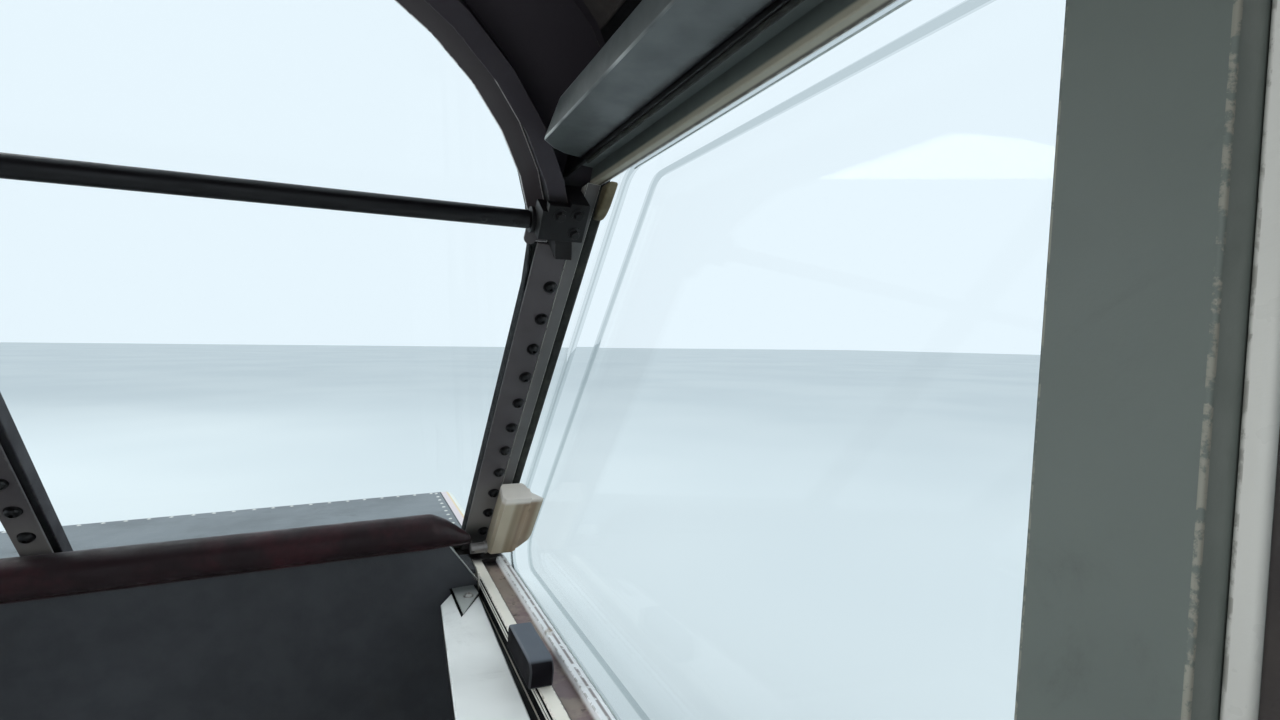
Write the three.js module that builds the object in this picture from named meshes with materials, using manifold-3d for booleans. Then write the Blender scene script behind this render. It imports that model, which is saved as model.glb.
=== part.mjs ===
// Cockpit window section of an amphibious flying boat: the windshield bay with its two sliding
// side windows, from the foredeck's edge to a frame behind the seats.
// Millimetres, +Z up, the nose towards -Y, the starboard side towards -X.
import * as THREE from "three";
import { ConvexGeometry } from "three/addons/geometries/ConvexGeometry.js";
import { mergeVertices } from "three/addons/utils/BufferGeometryUtils.js";
import Module from "manifold-3d";

const wasm = await Module();
wasm.setup();

// Driving dimensions
const FIT = 0.3;                        // gap between pieces that touch
const RAKE = THREE.MathUtils.degToRad(37.5);   // windshield's lean from the vertical
const TILT = THREE.MathUtils.degToRad(3.5);    // side wall's lean outboard
const FOOT_Y = -648;                    // windshield's inner plane at sill height
const SILL_Z = 305;                     // sill top above the cut through the hull
const LIP_X = 600;                      // white lip of the sill, half width inside
const WALL_OUT = 15;                    // outer skin, outboard of the lip's inner edge
const WALL_IN = -45;                    // inner face of sill and header
const WINDOW_H = 570;                   // window opening, up the wall
const HEADER_H = 34;                    // depth of the header rail
const FRONT_Y = -1200;
const AFT_Y = 760;                      // front face of the aft frame
const FRAME_T = 40;                     // thickness of the end frames
const BASE_H = 40;
const AFT_JAMB_Y = 330;                 // window opening's aft edge

// Windshield opening, in its own plane
const OPEN_X = 542.5;                   // half width at the foot
const ARCH_START = 558;                 // where the side turns into the arch, up the slope
const ARCH_R = 330;
const ARCH_CROWN = THREE.MathUtils.degToRad(18);
const STRIP_T = 4;
const GLASS_T = 8;
const GLASS_LAP = 18;                   // glass under the strips
const BOW_IN = STRIP_T + GLASS_T + 2 * FIT;
const BOW_OUT = 36;
const POST_CORNER = -17;                // inboard edge of the jamb
const LEAN = Math.atan(Math.tan(TILT) * Math.cos(RAKE));
const LIP_SLOPE = Math.tan(LEAN);

// Roof section
const CORNER_R = 130;
const CORNER_Z = 915;
const CROWN = THREE.MathUtils.degToRad(12);
const ROOF_T = 22;
const LINING_T = 4.5;
const LINING_EDGE = -4;                 // lining's front edge, from the windshield's plane

// Sliding window
const PANE_T = 5;
const FLANGE_U = 20.5;                  // inner face of the pane's flange
const BULGE_U = 48;                     // inner face of the bulged middle
const SLOT_FLOOR = 4;

// Frames of reference
const GLAZING = new THREE.Matrix4()
  .makeTranslation(0, FOOT_Y, SILL_Z)
  .multiply(new THREE.Matrix4().makeRotationX(Math.PI / 2 - RAKE));
const SIDE = new THREE.Matrix4()
  .makeTranslation(LIP_X, 0, SILL_Z)
  .multiply(new THREE.Matrix4().makeRotationY(TILT));
const POST = GLAZING.clone()
  .multiply(new THREE.Matrix4().makeTranslation(LIP_X, 0, 0))
  .multiply(new THREE.Matrix4().makeRotationZ(-LEAN));
const MAIN = new THREE.Matrix4();

function paint(colour, roughness, metalness = 0) {
  return new THREE.MeshStandardMaterial({ color: colour, roughness, metalness });
}

const FINISH = {
  hull: paint(0xe9e8e2, 0.35),
  frame: paint(0x8b938c, 0.6, 0.2),
  deck: paint(0x8a8b8a, 0.9),
  dark: paint(0x2a2622, 0.6),
  lining: paint(0x1b1917, 0.85),
  strip: paint(0x37322c, 0.5, 0.2),
  jamb: paint(0xa9a79f, 0.5, 0.3),
  rubber: paint(0x161815, 0.8),
  green: paint(0x7d8479, 0.55, 0.1),
  sill: paint(0xd8d2bd, 0.55),
  box: paint(0xcfd0cc, 0.5),
  padding: paint(0x2a1416, 0.7),
  panel: paint(0x33363a, 0.6),
  handle: paint(0xc4ab86, 0.6),
  latch: paint(0x202124, 0.5),
  rail: paint(0x8c938a, 0.4, 0.6),
  clear: new THREE.MeshStandardMaterial({
    color: 0xdfe8e4, roughness: 0.05, metalness: 0, transparent: true, opacity: 0.3,
  }),
};

// Solids

function closed(geometry) {
  const bare = geometry.index ? geometry.toNonIndexed() : geometry.clone();
  bare.deleteAttribute("normal");
  bare.deleteAttribute("uv");
  return mergeVertices(bare, 1e-4);
}

function solid(shape) {
  if (shape instanceof wasm.Manifold) {
    return shape;
  }
  const merged = closed(shape);
  return new wasm.Manifold(new wasm.Mesh({
    numProp: 3,
    vertProperties: new Float32Array(merged.attributes.position.array),
    triVerts: new Uint32Array(merged.index.array),
  }));
}

function geometryOf(body) {
  const mesh = body.getMesh();
  const geometry = new THREE.BufferGeometry();
  geometry.setAttribute("position", new THREE.BufferAttribute(mesh.vertProperties, 3));
  geometry.setIndex(new THREE.BufferAttribute(mesh.triVerts, 1));
  geometry.computeVertexNormals();
  return geometry;
}

// Cuts and joins work on solids and give one back
function join(...shapes) {
  return shapes.map(solid).reduce((whole, next) => whole.add(next));
}

function cut(shape, ...tools) {
  return tools.map(solid).reduce((whole, tool) => whole.subtract(tool), solid(shape));
}

function common(shape, other) {
  return solid(shape).intersect(solid(other));
}

function shapeOf(points) {
  return new THREE.Shape(points.map(([x, y]) => new THREE.Vector2(x, y)));
}

function extruded(shape, depth) {
  return new THREE.ExtrudeGeometry(shape, { depth, bevelEnabled: false, curveSegments: 8 });
}

// A section in x and z, run along y
function alongY(points, from, to) {
  return extruded(shapeOf(points), to - from).rotateX(Math.PI / 2).translate(0, to, 0);
}

// A section in y and z, run along x
function alongX(points, from, to) {
  const turn = new THREE.Matrix4().makeBasis(
    new THREE.Vector3(0, 1, 0), new THREE.Vector3(0, 0, 1), new THREE.Vector3(1, 0, 0));
  return extruded(shapeOf(points), to - from).applyMatrix4(turn).translate(from, 0, 0);
}

// An outline in x and y, run along z
function alongZ(points, from, to) {
  return extruded(shapeOf(points), to - from).translate(0, 0, from);
}

function block(low, high) {
  const size = high.map((value, axis) => value - low[axis]);
  const middle = high.map((value, axis) => (value + low[axis]) / 2);
  return new THREE.BoxGeometry(...size).translate(...middle);
}

function rectangle(x0, y0, x1, y1) {
  return [[x0, y0], [x1, y0], [x1, y1], [x0, y1]];
}

function moved(geometry, from, to) {
  return geometry.clone().applyMatrix4(to.clone().invert().multiply(from));
}

const FAR = 3000;

// Everything further out than a depth through the windshield
function aheadOf(depth, frame) {
  return moved(block([-FAR, -FAR, depth], [FAR, FAR, depth + FAR]), GLAZING, frame);
}

// Everything above a height up the side wall
function aboveWall(height, frame) {
  return moved(block([-FAR, -FAR, height], [FAR, FAR, height + FAR]), SIDE, frame);
}

// Sections of the roof and the windshield's opening

function sidePoint(u, w) {
  const point = new THREE.Vector3(u, 0, w).applyMatrix4(SIDE);
  return [point.x, point.z];
}

const WALL_TOP = WINDOW_H + HEADER_H + FIT;

// Half of the roof's section, from the port wall's top to the crown, at an inset from the skin
function roofHalf(inset, bottom = WALL_TOP, steps = 6) {
  const [wallX] = sidePoint(WALL_OUT, (CORNER_Z - SILL_Z) / Math.cos(TILT));
  const cornerX = wallX - CORNER_R * Math.cos(TILT);
  const cornerZ = CORNER_Z + CORNER_R * Math.sin(TILT);
  const shoulderX = cornerX + CORNER_R * Math.sin(CROWN);
  const crownR = shoulderX / Math.sin(CROWN);
  const crownZ = cornerZ + CORNER_R * Math.cos(CROWN) - crownR * Math.cos(CROWN);
  const points = [sidePoint(WALL_OUT - inset, bottom)];
  for (let step = 0; step <= steps; step += 1) {
    const turn = -TILT + (Math.PI / 2 - CROWN + TILT) * step / steps;
    points.push([
      cornerX + (CORNER_R - inset) * Math.cos(turn),
      cornerZ + (CORNER_R - inset) * Math.sin(turn),
    ]);
  }
  for (let step = 1; step <= steps; step += 1) {
    const turn = CROWN * (1 - step / steps);
    points.push([(crownR - inset) * Math.sin(turn), crownZ + (crownR - inset) * Math.cos(turn)]);
  }
  return points;
}

function mirrored(points) {
  return points.map(([x, z]) => [-x, z]).reverse();
}

function wholeOf(half) {
  return [...half, ...mirrored(half).slice(1)];
}

function ring(outer, inner) {
  return [...outer, ...[...inner].reverse()];
}

// Half of the windshield's opening, from the port foot to the crown, grown by a margin
function archHalf(margin, foot = 0, steps = 8) {
  const startX = OPEN_X + ARCH_START * LIP_SLOPE;
  const centreX = startX - ARCH_R * Math.cos(LEAN);
  const centreS = ARCH_START + ARCH_R * Math.sin(LEAN);
  const shoulderX = centreX + ARCH_R * Math.sin(ARCH_CROWN);
  const crownR = shoulderX / Math.sin(ARCH_CROWN);
  const crownS = centreS + (ARCH_R - crownR) * Math.cos(ARCH_CROWN);
  const points = [[OPEN_X + margin + foot * LIP_SLOPE, foot]];
  for (let step = 0; step <= steps; step += 1) {
    const turn = -LEAN + (Math.PI / 2 - ARCH_CROWN + LEAN) * step / steps;
    points.push([
      centreX + (ARCH_R + margin) * Math.cos(turn),
      centreS + (ARCH_R + margin) * Math.sin(turn),
    ]);
  }
  for (let step = 1; step <= steps / 2; step += 1) {
    const turn = ARCH_CROWN * (1 - step / (steps / 2));
    points.push([
      (crownR + margin) * Math.sin(turn),
      crownS + (crownR + margin) * Math.cos(turn),
    ]);
  }
  return points;
}

const CROWN_S = archHalf(0).at(-1)[1];

// Hull pieces, in the main frame

function baseFrame() {
  const half = sidePoint(WALL_OUT, -SILL_Z / Math.cos(TILT))[0];
  const beam = 60;
  const whole = block([-half, FRONT_Y, 0], [half, AFT_Y + FRAME_T, BASE_H]);
  const bays = [[FRONT_Y + beam, FOOT_Y + 40], [FOOT_Y + 40 + beam, AFT_Y + FRAME_T - beam]];
  return cut(whole, ...bays.map(([from, to]) => block([-half + beam, from, -1], [half - beam, to, BASE_H + 1])));
}

const DECK_LOW = 262;
const DECK_TOP = 300;
const SILL_DEPTH = 35;

function foreFrame() {
  const low = sidePoint(WALL_OUT, -(SILL_Z - BASE_H) / Math.cos(TILT))[0] - 1;
  const high = sidePoint(WALL_OUT, -SILL_DEPTH)[0] - 1;
  const section = [[-low, BASE_H + FIT], [low, BASE_H + FIT], [high, DECK_LOW - FIT], [-high, DECK_LOW - FIT]];
  const window = rectangle(-low + 90, BASE_H + 60, low - 90, DECK_LOW - 50);
  return cut(
    alongY(section, FRONT_Y, FRONT_Y + FRAME_T),
    alongY(window, FRONT_Y - 1, FRONT_Y + FRAME_T + 1));
}

const FOOT_FRONT = -705;                // windshield sill's front face
const FOOT_AFT = -610;
const FOOT_TOP = SILL_Z - 2.1;

// Deck ahead of the windshield, its sides rounded over and its top falling towards the nose
function foredeck() {
  const half = 612;
  const fall = 14;
  const edge = [[half, DECK_TOP - 24], [609, DECK_TOP - 12], [601, DECK_TOP - 4], [588, DECK_TOP]];
  const section = [[-half, DECK_LOW], [half, DECK_LOW], ...edge, ...mirrored(edge)];
  const to = FOOT_FRONT - FIT;
  const deck = alongY(section, FRONT_Y, to);
  const position = deck.attributes.position;
  for (let corner = 0; corner < position.count; corner += 1) {
    if (position.getZ(corner) > DECK_LOW + 1) {
      position.setZ(corner, position.getZ(corner) - fall * (to - position.getY(corner)) / (to - FRONT_Y));
    }
  }
  return deck;
}

function windshieldSill() {
  const bar = alongX(rectangle(FOOT_FRONT, DECK_LOW, FOOT_AFT, FOOT_TOP), -612, 612);
  const onPlane = (s, t) => [
    FOOT_Y + s * Math.sin(RAKE) - t * Math.cos(RAKE),
    SILL_Z + s * Math.cos(RAKE) + t * Math.sin(RAKE),
  ];
  const half = LIP_X + POST_CORNER - 2;
  const ledge = alongX([
    [FOOT_FRONT, FOOT_TOP - 5], onPlane(2, -6), onPlane(2, BOW_IN), onPlane(20, BOW_IN),
    onPlane(20, BOW_OUT), [FOOT_FRONT, FOOT_TOP + 8],
  ], -half, half);
  return join(bar, ledge);
}

// Padded roll behind the windshield: [half width, radius, drop] from the middle to its end
const ROLL = { y: -540, z: 386, r: 28 };
const ROLL_STATIONS = [
  { x: 482, r: ROLL.r, drop: 0 },
  { x: 503, r: 22.5, drop: 4.5 },
  { x: 514, r: 18.5, drop: 8.5 },
  { x: 524, r: 14.8, drop: 12.8 },
  { x: 535, r: 10.5, drop: 16.5 },
  { x: 545, r: 6, drop: 20 },
];

function rollBody(grow) {
  const half = [
    ...ROLL_STATIONS.map(({ x, r }) => new THREE.Vector2(r + grow, x)),
    new THREE.Vector2(0, ROLL_STATIONS.at(-1).x + grow),
  ];
  const other = half.map(({ x, y }) => new THREE.Vector2(x, -y)).reverse();
  const roll = new THREE.LatheGeometry([...other, ...half], 16).rotateZ(Math.PI / 2);
  const position = roll.attributes.position;
  for (let corner = 0; corner < position.count; corner += 1) {
    position.setZ(corner, position.getZ(corner) - dropAt(Math.abs(position.getX(corner))));
  }
  return roll.translate(0, ROLL.y, ROLL.z);
}

function dropAt(x) {
  let before = ROLL_STATIONS[0];
  for (const station of ROLL_STATIONS) {
    if (x <= station.x) {
      const share = station.x > before.x ? Math.max(0, (x - before.x) / (station.x - before.x)) : 0;
      return before.drop + share * (station.drop - before.drop);
    }
    before = station;
  }
  return before.drop;
}

function coamingRoll() {
  return rollBody(0);
}

// Panel below the roll, cut back at its upper corners, and its shelf towards the windshield
function coamingPanel() {
  const half = sidePoint(WALL_IN, -SILL_DEPTH)[0] - FIT;
  const plate = [ROLL.y - 9, ROLL.y + 9];
  const shelfTop = FOOT_TOP + FIT + 8;
  const section = [
    [plate[0], BASE_H + FIT], [plate[1], BASE_H + FIT],
    [plate[1], ROLL.z - ROLL.r + 6], [plate[0], ROLL.z - ROLL.r + 6],
    [plate[0], shelfTop], [FOOT_Y + 24, shelfTop],
    [FOOT_Y + 24, FOOT_TOP + FIT], [plate[0], FOOT_TOP + FIT],
  ];
  const corner = [[510, 370], [510, 362], [half - 2, 297], [half + 1, 297], [half + 1, 370]];
  return cut(
    alongX(section, -half, half),
    alongY(corner, plate[0] - 1, plate[1] + 1),
    alongY(mirrored(corner), plate[0] - 1, plate[1] + 1),
    rollBody(FIT));
}

function roofSkin() {
  const section = ring(wholeOf(roofHalf(0)), wholeOf(roofHalf(ROOF_T)));
  return cut(alongY(section, -400, AFT_Y - FIT), aheadOf(BOW_OUT, MAIN));
}

function ceilingPanel() {
  const near = ROOF_T + FIT;
  const section = ring(wholeOf(roofHalf(near)), wholeOf(roofHalf(near + LINING_T)));
  return cut(alongY(section, -400, AFT_Y - FIT), aheadOf(LINING_EDGE, MAIN));
}

const DOOR = { half: 430, low: 95, high: 985 };

function aftFrame() {
  const foot = sidePoint(WALL_OUT, -(SILL_Z - BASE_H - FIT) / Math.cos(TILT));
  const outer = wholeOf([[foot[0], BASE_H + FIT], ...roofHalf(0)]);
  const inner = [
    [DOOR.half, DOOR.low], [DOOR.half, DOOR.high - 130], [DOOR.half - 40, DOOR.high - 50],
    [DOOR.half - 130, DOOR.high], [-DOOR.half + 130, DOOR.high], [-DOOR.half + 40, DOOR.high - 50],
    [-DOOR.half, DOOR.high - 130], [-DOOR.half, DOOR.low],
  ];
  return cut(
    alongY(outer, AFT_Y, AFT_Y + FRAME_T),
    alongY(inner, AFT_Y - 1, AFT_Y + FRAME_T + 1));
}

// Windshield pieces, in the windshield's frame: x across, y up the slope, z outwards

const BOW_LAP = 2;
const ARCH_STRIP_W = 21.7;
const FLANGE = { near: 22, far: 42, aft: -40 };
const ARCH_FOOT = 636;

// The space that the roof takes up down to a depth, in the windshield's frame
function underRoof(depth) {
  const bottom = WALL_TOP - FIT;
  const section = ring(wholeOf(roofHalf(-5, bottom)), wholeOf(roofHalf(depth, bottom)));
  return moved(alongY(section, -900, 300), MAIN, GLAZING);
}

function windshieldBow() {
  const wide = 720;
  const high = CROWN_S + 200;
  const opening = wholeOf(archHalf(BOW_LAP, -50));
  const plate = cut(
    alongZ(rectangle(-wide, 22, wide, high), BOW_IN, BOW_OUT),
    alongZ(opening, -60, 60));
  const flange = alongZ(
    ring(wholeOf(archHalf(FLANGE.far)), wholeOf(archHalf(FLANGE.near))),
    FLANGE.aft, BOW_IN + 2);
  const low = block([-wide, -100, FLANGE.aft - 5], [wide, ARCH_FOOT, BOW_OUT]);
  const bow = join(plate, cut(flange, low, underRoof(ROOF_T + LINING_T + 2 * FIT)));
  const foot = [sidePoint(WALL_OUT, -30)[0], SILL_Z - 30];
  const inside = moved(alongY(wholeOf([foot, ...roofHalf(0)]), -900, 300), MAIN, GLAZING);
  const post = moved(block([POST_CORNER - FIT, -900, -400], [FAR, 900, WINDOW_H]), SIDE, GLAZING);
  const other = post.clone().scale(-1, 1, 1);
  return cut(common(bow, inside), underRoof(ROOF_T + FIT), post, flipped(other));
}

// A mirrored geometry with its triangles turned back outwards
function flipped(geometry) {
  const loose = geometry.index ? geometry.toNonIndexed() : geometry.clone();
  const position = loose.attributes.position;
  for (let corner = 0; corner < position.count; corner += 3) {
    const second = new THREE.Vector3().fromBufferAttribute(position, corner + 1);
    const third = new THREE.Vector3().fromBufferAttribute(position, corner + 2);
    position.setXYZ(corner + 1, third.x, third.y, third.z);
    position.setXYZ(corner + 2, second.x, second.y, second.z);
  }
  return loose;
}

const SCREW = { r: 6, proud: 1.6, pitch: 51 };

function screwHead(x, y, z = 0) {
  return new THREE.CylinderGeometry(SCREW.r * 0.8, SCREW.r, SCREW.proud + 1, 10)
    .rotateX(-Math.PI / 2).translate(x, y, z - SCREW.proud / 2 + 0.5);
}

function archStrip() {
  const band = alongZ(ring(
    wholeOf(archHalf(ARCH_STRIP_W, 0)), wholeOf(archHalf(0, 0))), 0, STRIP_T);
  return cut(band, block([-900, -100, -5], [900, ARCH_FOOT, STRIP_T + 5]));
}

function centreStrip() {
  const half = 16;
  const from = 8;
  const to = CROWN_S - 1;
  const heads = [];
  for (let s = 62; s < to - 20; s += SCREW.pitch) {
    heads.push(screwHead(0, s));
  }
  return join(block([-half, from, 0], [half, to, STRIP_T]), ...heads);
}

function centrePost() {
  const half = 20;
  return block([-half, 22 + FIT, BOW_IN], [half, CROWN_S + BOW_LAP - 1, BOW_OUT - 2]);
}

function windshieldPane() {
  const half = archHalf(GLASS_LAP, 3);
  const outline = [[0.5, 3], ...half.slice(0, -1), [0.5, half.at(-1)[1]]];
  return alongZ(outline, STRIP_T + FIT, STRIP_T + FIT + GLASS_T);
}

const TUBE = { s: 674, t: -20, r: 10.5, half: 552 };

function crossTube() {
  return new THREE.CylinderGeometry(TUBE.r, TUBE.r, 2 * TUBE.half, 20)
    .rotateZ(Math.PI / 2).translate(0, TUBE.s, TUBE.t);
}

// Corner pieces, in the post's frame: x outboard from the lip, y up the post, z outwards

const SKEW = Math.tan(TILT) * Math.sin(RAKE);

// A point of the post's section, at a distance outboard of the lip's plane
function across(u, t) {
  return [u + SKEW * t, t];
}

const JAMB_T = 3;
const SEAL = { near: 0.3, far: 15, front: 2, back: 14 };
const POST_END = WINDOW_H / Math.cos(RAKE) + 60;

function trimmed(geometry) {
  const under = moved(block([-FAR, -FAR, -FAR], [FAR, FAR, FOOT_TOP + FIT]), MAIN, POST);
  return cut(geometry, under, aboveWall(WINDOW_H - FIT, POST));
}

function cornerPost() {
  return trimmed(alongY([
    across(POST_CORNER, JAMB_T + FIT), across(-JAMB_T - FIT, JAMB_T + FIT),
    across(-JAMB_T - FIT, SEAL.back + FIT), across(WALL_OUT, SEAL.back + FIT),
    across(WALL_OUT, BOW_OUT), across(0, BOW_OUT + 8), across(POST_CORNER, BOW_OUT + 8),
  ], -90, POST_END));
}

function frontJamb() {
  return trimmed(alongY([
    across(POST_CORNER + FIT, 0), across(0, 0), across(0, SEAL.back),
    across(-JAMB_T, SEAL.back), across(-JAMB_T, JAMB_T), across(POST_CORNER + FIT, JAMB_T),
  ], -90, POST_END));
}

function jambSeal() {
  return trimmed(alongY([
    across(SEAL.near, SEAL.front + 2), across(3, SEAL.front), across(SEAL.far - 3, SEAL.front),
    across(SEAL.far, SEAL.front + 3), across(SEAL.far, SEAL.back), across(SEAL.near, SEAL.back),
  ], -90, POST_END));
}

function postStrip() {
  const near = OPEN_X - LIP_X;
  const far = POST_CORNER - FIT;
  const top = ARCH_FOOT - 4;
  const heads = [];
  for (let s = 62; s < top - 10; s += SCREW.pitch) {
    heads.push(screwHead((near + far) / 2 + 5, s));
  }
  return join(block([near, 8, 0], [far, top, STRIP_T]), ...heads);
}

// The cross tube's end fitting, a saddle over the arch's flange that is bolted to the post
function tubeBracket() {
  const start = TUBE.half + FIT;
  const over = FLANGE.aft - FIT;
  const boss = new THREE.CylinderGeometry(14, 15, 60, 14).rotateZ(-Math.PI / 2)
    .translate(start + 30, TUBE.s, TUBE.t);
  const saddle = block([start + 10, TUBE.s - 8, over - 11], [start + 56, TUBE.s + 34, over]);
  const web = block([start + 4, TUBE.s - 8, over - 11], [start + 34, TUBE.s + 26, TUBE.t]);
  const heel = block([start + 34, TUBE.s - 8, over - 11], [start + 56, TUBE.s + 38, -FIT]);
  const bolts = [[24, 23], [44, 26], [44, 3]].map(([dx, ds]) =>
    new THREE.CylinderGeometry(5, 6, 9, 6).rotateX(-Math.PI / 2)
      .translate(start + dx, TUBE.s + ds, over - 13));
  const flange = alongZ(
    ring(wholeOf(archHalf(FLANGE.far + FIT)), wholeOf(archHalf(FLANGE.near - FIT))), over, 60);
  const strip = block([0, 0, -FIT], [FAR, FAR, 60]);
  return cut(join(boss, saddle, web, heel, ...bolts), flange, strip);
}

// Side wall pieces, in the wall's frame: x outboard from the lip, y aft, z up the wall

function sillRail() {
  const lip = -29;
  const floor = -9;
  return alongY([
    [WALL_IN, -SILL_DEPTH], [WALL_OUT, -SILL_DEPTH], [WALL_OUT, 0], [0, 0],
    [-2, floor], [lip + 2, floor], [lip, 0], [WALL_IN, 0],
  ], FOOT_AFT + FIT, AFT_Y - FIT);
}

function headerRail() {
  const low = WINDOW_H;
  const high = WINDOW_H + HEADER_H;
  const section = [
    [WALL_IN, low + 3], [-40, low + 3], [-38, low + 18], [-12, low + 18], [-10, low],
    [0, low], [WALL_OUT, low + 11], [WALL_OUT, high], [WALL_IN, high],
  ];
  return cut(alongY(section, -500, AFT_Y - FIT), aheadOf(BOW_IN - FIT, SIDE));
}

function aftPost() {
  return block([WALL_IN, AFT_JAMB_Y, FIT], [WALL_OUT, AFT_JAMB_Y + 45, WINDOW_H - FIT]);
}

function aftSidePanel() {
  return block(
    [WALL_IN + 15, AFT_JAMB_Y + 45 + FIT, FIT], [WALL_OUT, AFT_Y - FIT, WINDOW_H - FIT]);
}

// Trim box under the ceiling, its front end rounded in plan and swept back
function headerBox() {
  const low = WINDOW_H + 7;
  const high = low + 25;
  const sweep = 48;
  const outboard = WALL_IN - FIT;
  const nose = [[outboard, -156], [outboard - 20, -152], [outboard - 35, -143], [outboard - 50, -126]];
  const tail = [[outboard, AFT_Y - FIT], [outboard - 50, AFT_Y - FIT]];
  return new ConvexGeometry([
    ...[...nose, ...tail].map(([u, y]) => new THREE.Vector3(u, y, low)),
    ...nose.map(([u, y]) => new THREE.Vector3(u, y + sweep, high)),
    ...tail.map(([u, y]) => new THREE.Vector3(u, y, high)),
  ]);
}

function sillLatch() {
  const low = FIT;
  const high = 30;
  return alongX([
    [-283, low], [-176, low], [-180, high - 8], [-188, high], [-276, high], [-283, high - 8],
  ], -56, -28.5);
}

// Trim pieces beside the sill, in the main frame

const TRIM = { foot: 268, ledge: 281, top: 291, aft: AFT_JAMB_Y };

function placardBox() {
  const against = sidePoint(WALL_IN, -SILL_DEPTH)[0] - FIT;
  const left = [[465, TRIM.aft], [466, -150], [489, -479], [543, -573]];
  const base = alongZ([[against, -573], [against, TRIM.aft], ...left], TRIM.foot, TRIM.ledge);
  const lid = alongZ(
    [[549, -573], [541, -155], [540, TRIM.aft], ...left], TRIM.ledge - 1, TRIM.top);
  const panel = block([-FAR, -FAR, -FAR], [FAR, ROLL.y + 9 + FIT, FAR]);
  return cut(join(base, lid), panel);
}

function cornerPlate() {
  const low = TRIM.top + FIT;
  const plate = alongZ([[514, -429], [547, -492], [545, -526], [512, -526]], low, low + 3);
  const head = new THREE.CylinderGeometry(6, 7, 4, 12).rotateX(Math.PI / 2)
    .translate(531, -486, low + 4);
  return join(plate, head);
}

// Lower side panel, in the main frame
function lowerSidePanel() {
  const slope = Math.tan(TILT);
  const thick = 45;
  const foot = BASE_H + FIT;
  const outX = (z) => sidePoint(WALL_OUT, 0)[0] + (z - sidePoint(WALL_OUT, 0)[1]) * slope;
  const outTop = sidePoint(WALL_OUT, -SILL_DEPTH - FIT);
  const inTop = sidePoint(WALL_OUT - thick, -SILL_DEPTH - FIT);
  const section = [[outX(foot) - thick, foot], [outX(foot), foot], outTop, inTop];
  const whole = alongY(section, FRONT_Y + FRAME_T + FIT, AFT_Y - FIT);
  const deck = block([-FAR, -FAR, DECK_LOW - FIT], [FAR, FOOT_AFT + FIT, FAR]);
  return cut(whole, deck);
}

// Sliding window and its rails, in the wall's frame

const frontEdge = (w, t) => FOOT_Y - t / Math.cos(RAKE) + Math.tan(RAKE) * w * Math.cos(TILT);

const RAIL_LOW = { bottom: -45, top: -22 };
const RAIL_HIGH = { bottom: 594, top: 617 };
const RAIL_LEG = [WALL_OUT + FIT, WALL_OUT + FIT + 2.7];
const RAIL_OUTER = [28, 31];

function railLower() {
  const { bottom, top } = RAIL_LOW;
  return alongY([
    [RAIL_LEG[0], bottom], [RAIL_OUTER[1], bottom], [RAIL_OUTER[1], top], [RAIL_OUTER[0], top],
    [RAIL_OUTER[0], bottom + SLOT_FLOOR], [RAIL_LEG[1], bottom + SLOT_FLOOR],
    [RAIL_LEG[1], top], [RAIL_LEG[0], top],
  ], -757, AFT_Y + FRAME_T);
}

function railUpper() {
  const { bottom, top } = RAIL_HIGH;
  return alongY([
    [RAIL_LEG[0], bottom], [RAIL_LEG[1], bottom], [RAIL_LEG[1], top - SLOT_FLOOR],
    [RAIL_OUTER[0], top - SLOT_FLOOR], [RAIL_OUTER[0], bottom], [RAIL_OUTER[1], bottom],
    [RAIL_OUTER[1], top], [RAIL_LEG[0], top],
  ], -255, AFT_Y + FRAME_T);
}

// Corners of a window outline with its front edge along the post, each corner rounded
function windowOutline(low, high, frontT, aft, radius) {
  const corners = [
    [frontEdge(low, frontT), low], [aft, low], [aft, high], [frontEdge(high, frontT), high],
  ];
  const points = [];
  const steps = 5;
  corners.forEach((corner, index) => {
    const here = new THREE.Vector2(...corner);
    const before = new THREE.Vector2(...corners[(index + 3) % 4]).sub(here).normalize();
    const after = new THREE.Vector2(...corners[(index + 1) % 4]).sub(here).normalize();
    const half = before.angleTo(after) / 2;
    const reach = radius / Math.tan(half);
    const centre = before.clone().add(after).normalize().multiplyScalar(radius / Math.sin(half)).add(here);
    const start = before.clone().multiplyScalar(reach).add(here).sub(centre);
    const sweep = Math.PI - 2 * half;
    for (let step = 0; step <= steps; step += 1) {
      const arm = start.clone().rotateAround(new THREE.Vector2(), sweep * step / steps);
      points.push([centre.x + arm.x, centre.y + arm.y]);
    }
  });
  return points;
}

function tray(near, far, nearU, farU) {
  const points = [
    ...near.map(([y, w]) => new THREE.Vector3(nearU, y, w)),
    ...far.map(([y, w]) => new THREE.Vector3(farU, y, w)),
  ];
  return new ConvexGeometry(points);
}

const BULGE = {
  foot: { low: -17, high: 590, front: -6, aft: 325, radius: 46 },
  top: { low: -10, high: 583, front: -29, aft: 300, radius: 40 },
};

function bulgeOutline(edge, inset = 0) {
  return windowOutline(
    edge.low + inset, edge.high - inset, edge.front - inset, edge.aft - inset, edge.radius - inset);
}

function sashPane() {
  const flange = alongX(
    windowOutline(RAIL_LOW.bottom + SLOT_FLOOR + 0.5, RAIL_HIGH.top - SLOT_FLOOR - 2, 50, 365, 12),
    FLANGE_U, FLANGE_U + PANE_T);
  const outer = tray(
    bulgeOutline(BULGE.foot), bulgeOutline(BULGE.top), FLANGE_U, BULGE_U + PANE_T);
  const inner = tray(
    bulgeOutline(BULGE.foot, PANE_T), bulgeOutline(BULGE.top, PANE_T), FLANGE_U - 0.01, BULGE_U);
  return cut(join(flange, outer), inner);
}

// Grip block along the sash's front edge, in the post's frame, with a foot on the pane
const GRIP = { near: -22, far: 25, low: 45, high: 192, back: -39, front: -6.5 };

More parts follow.
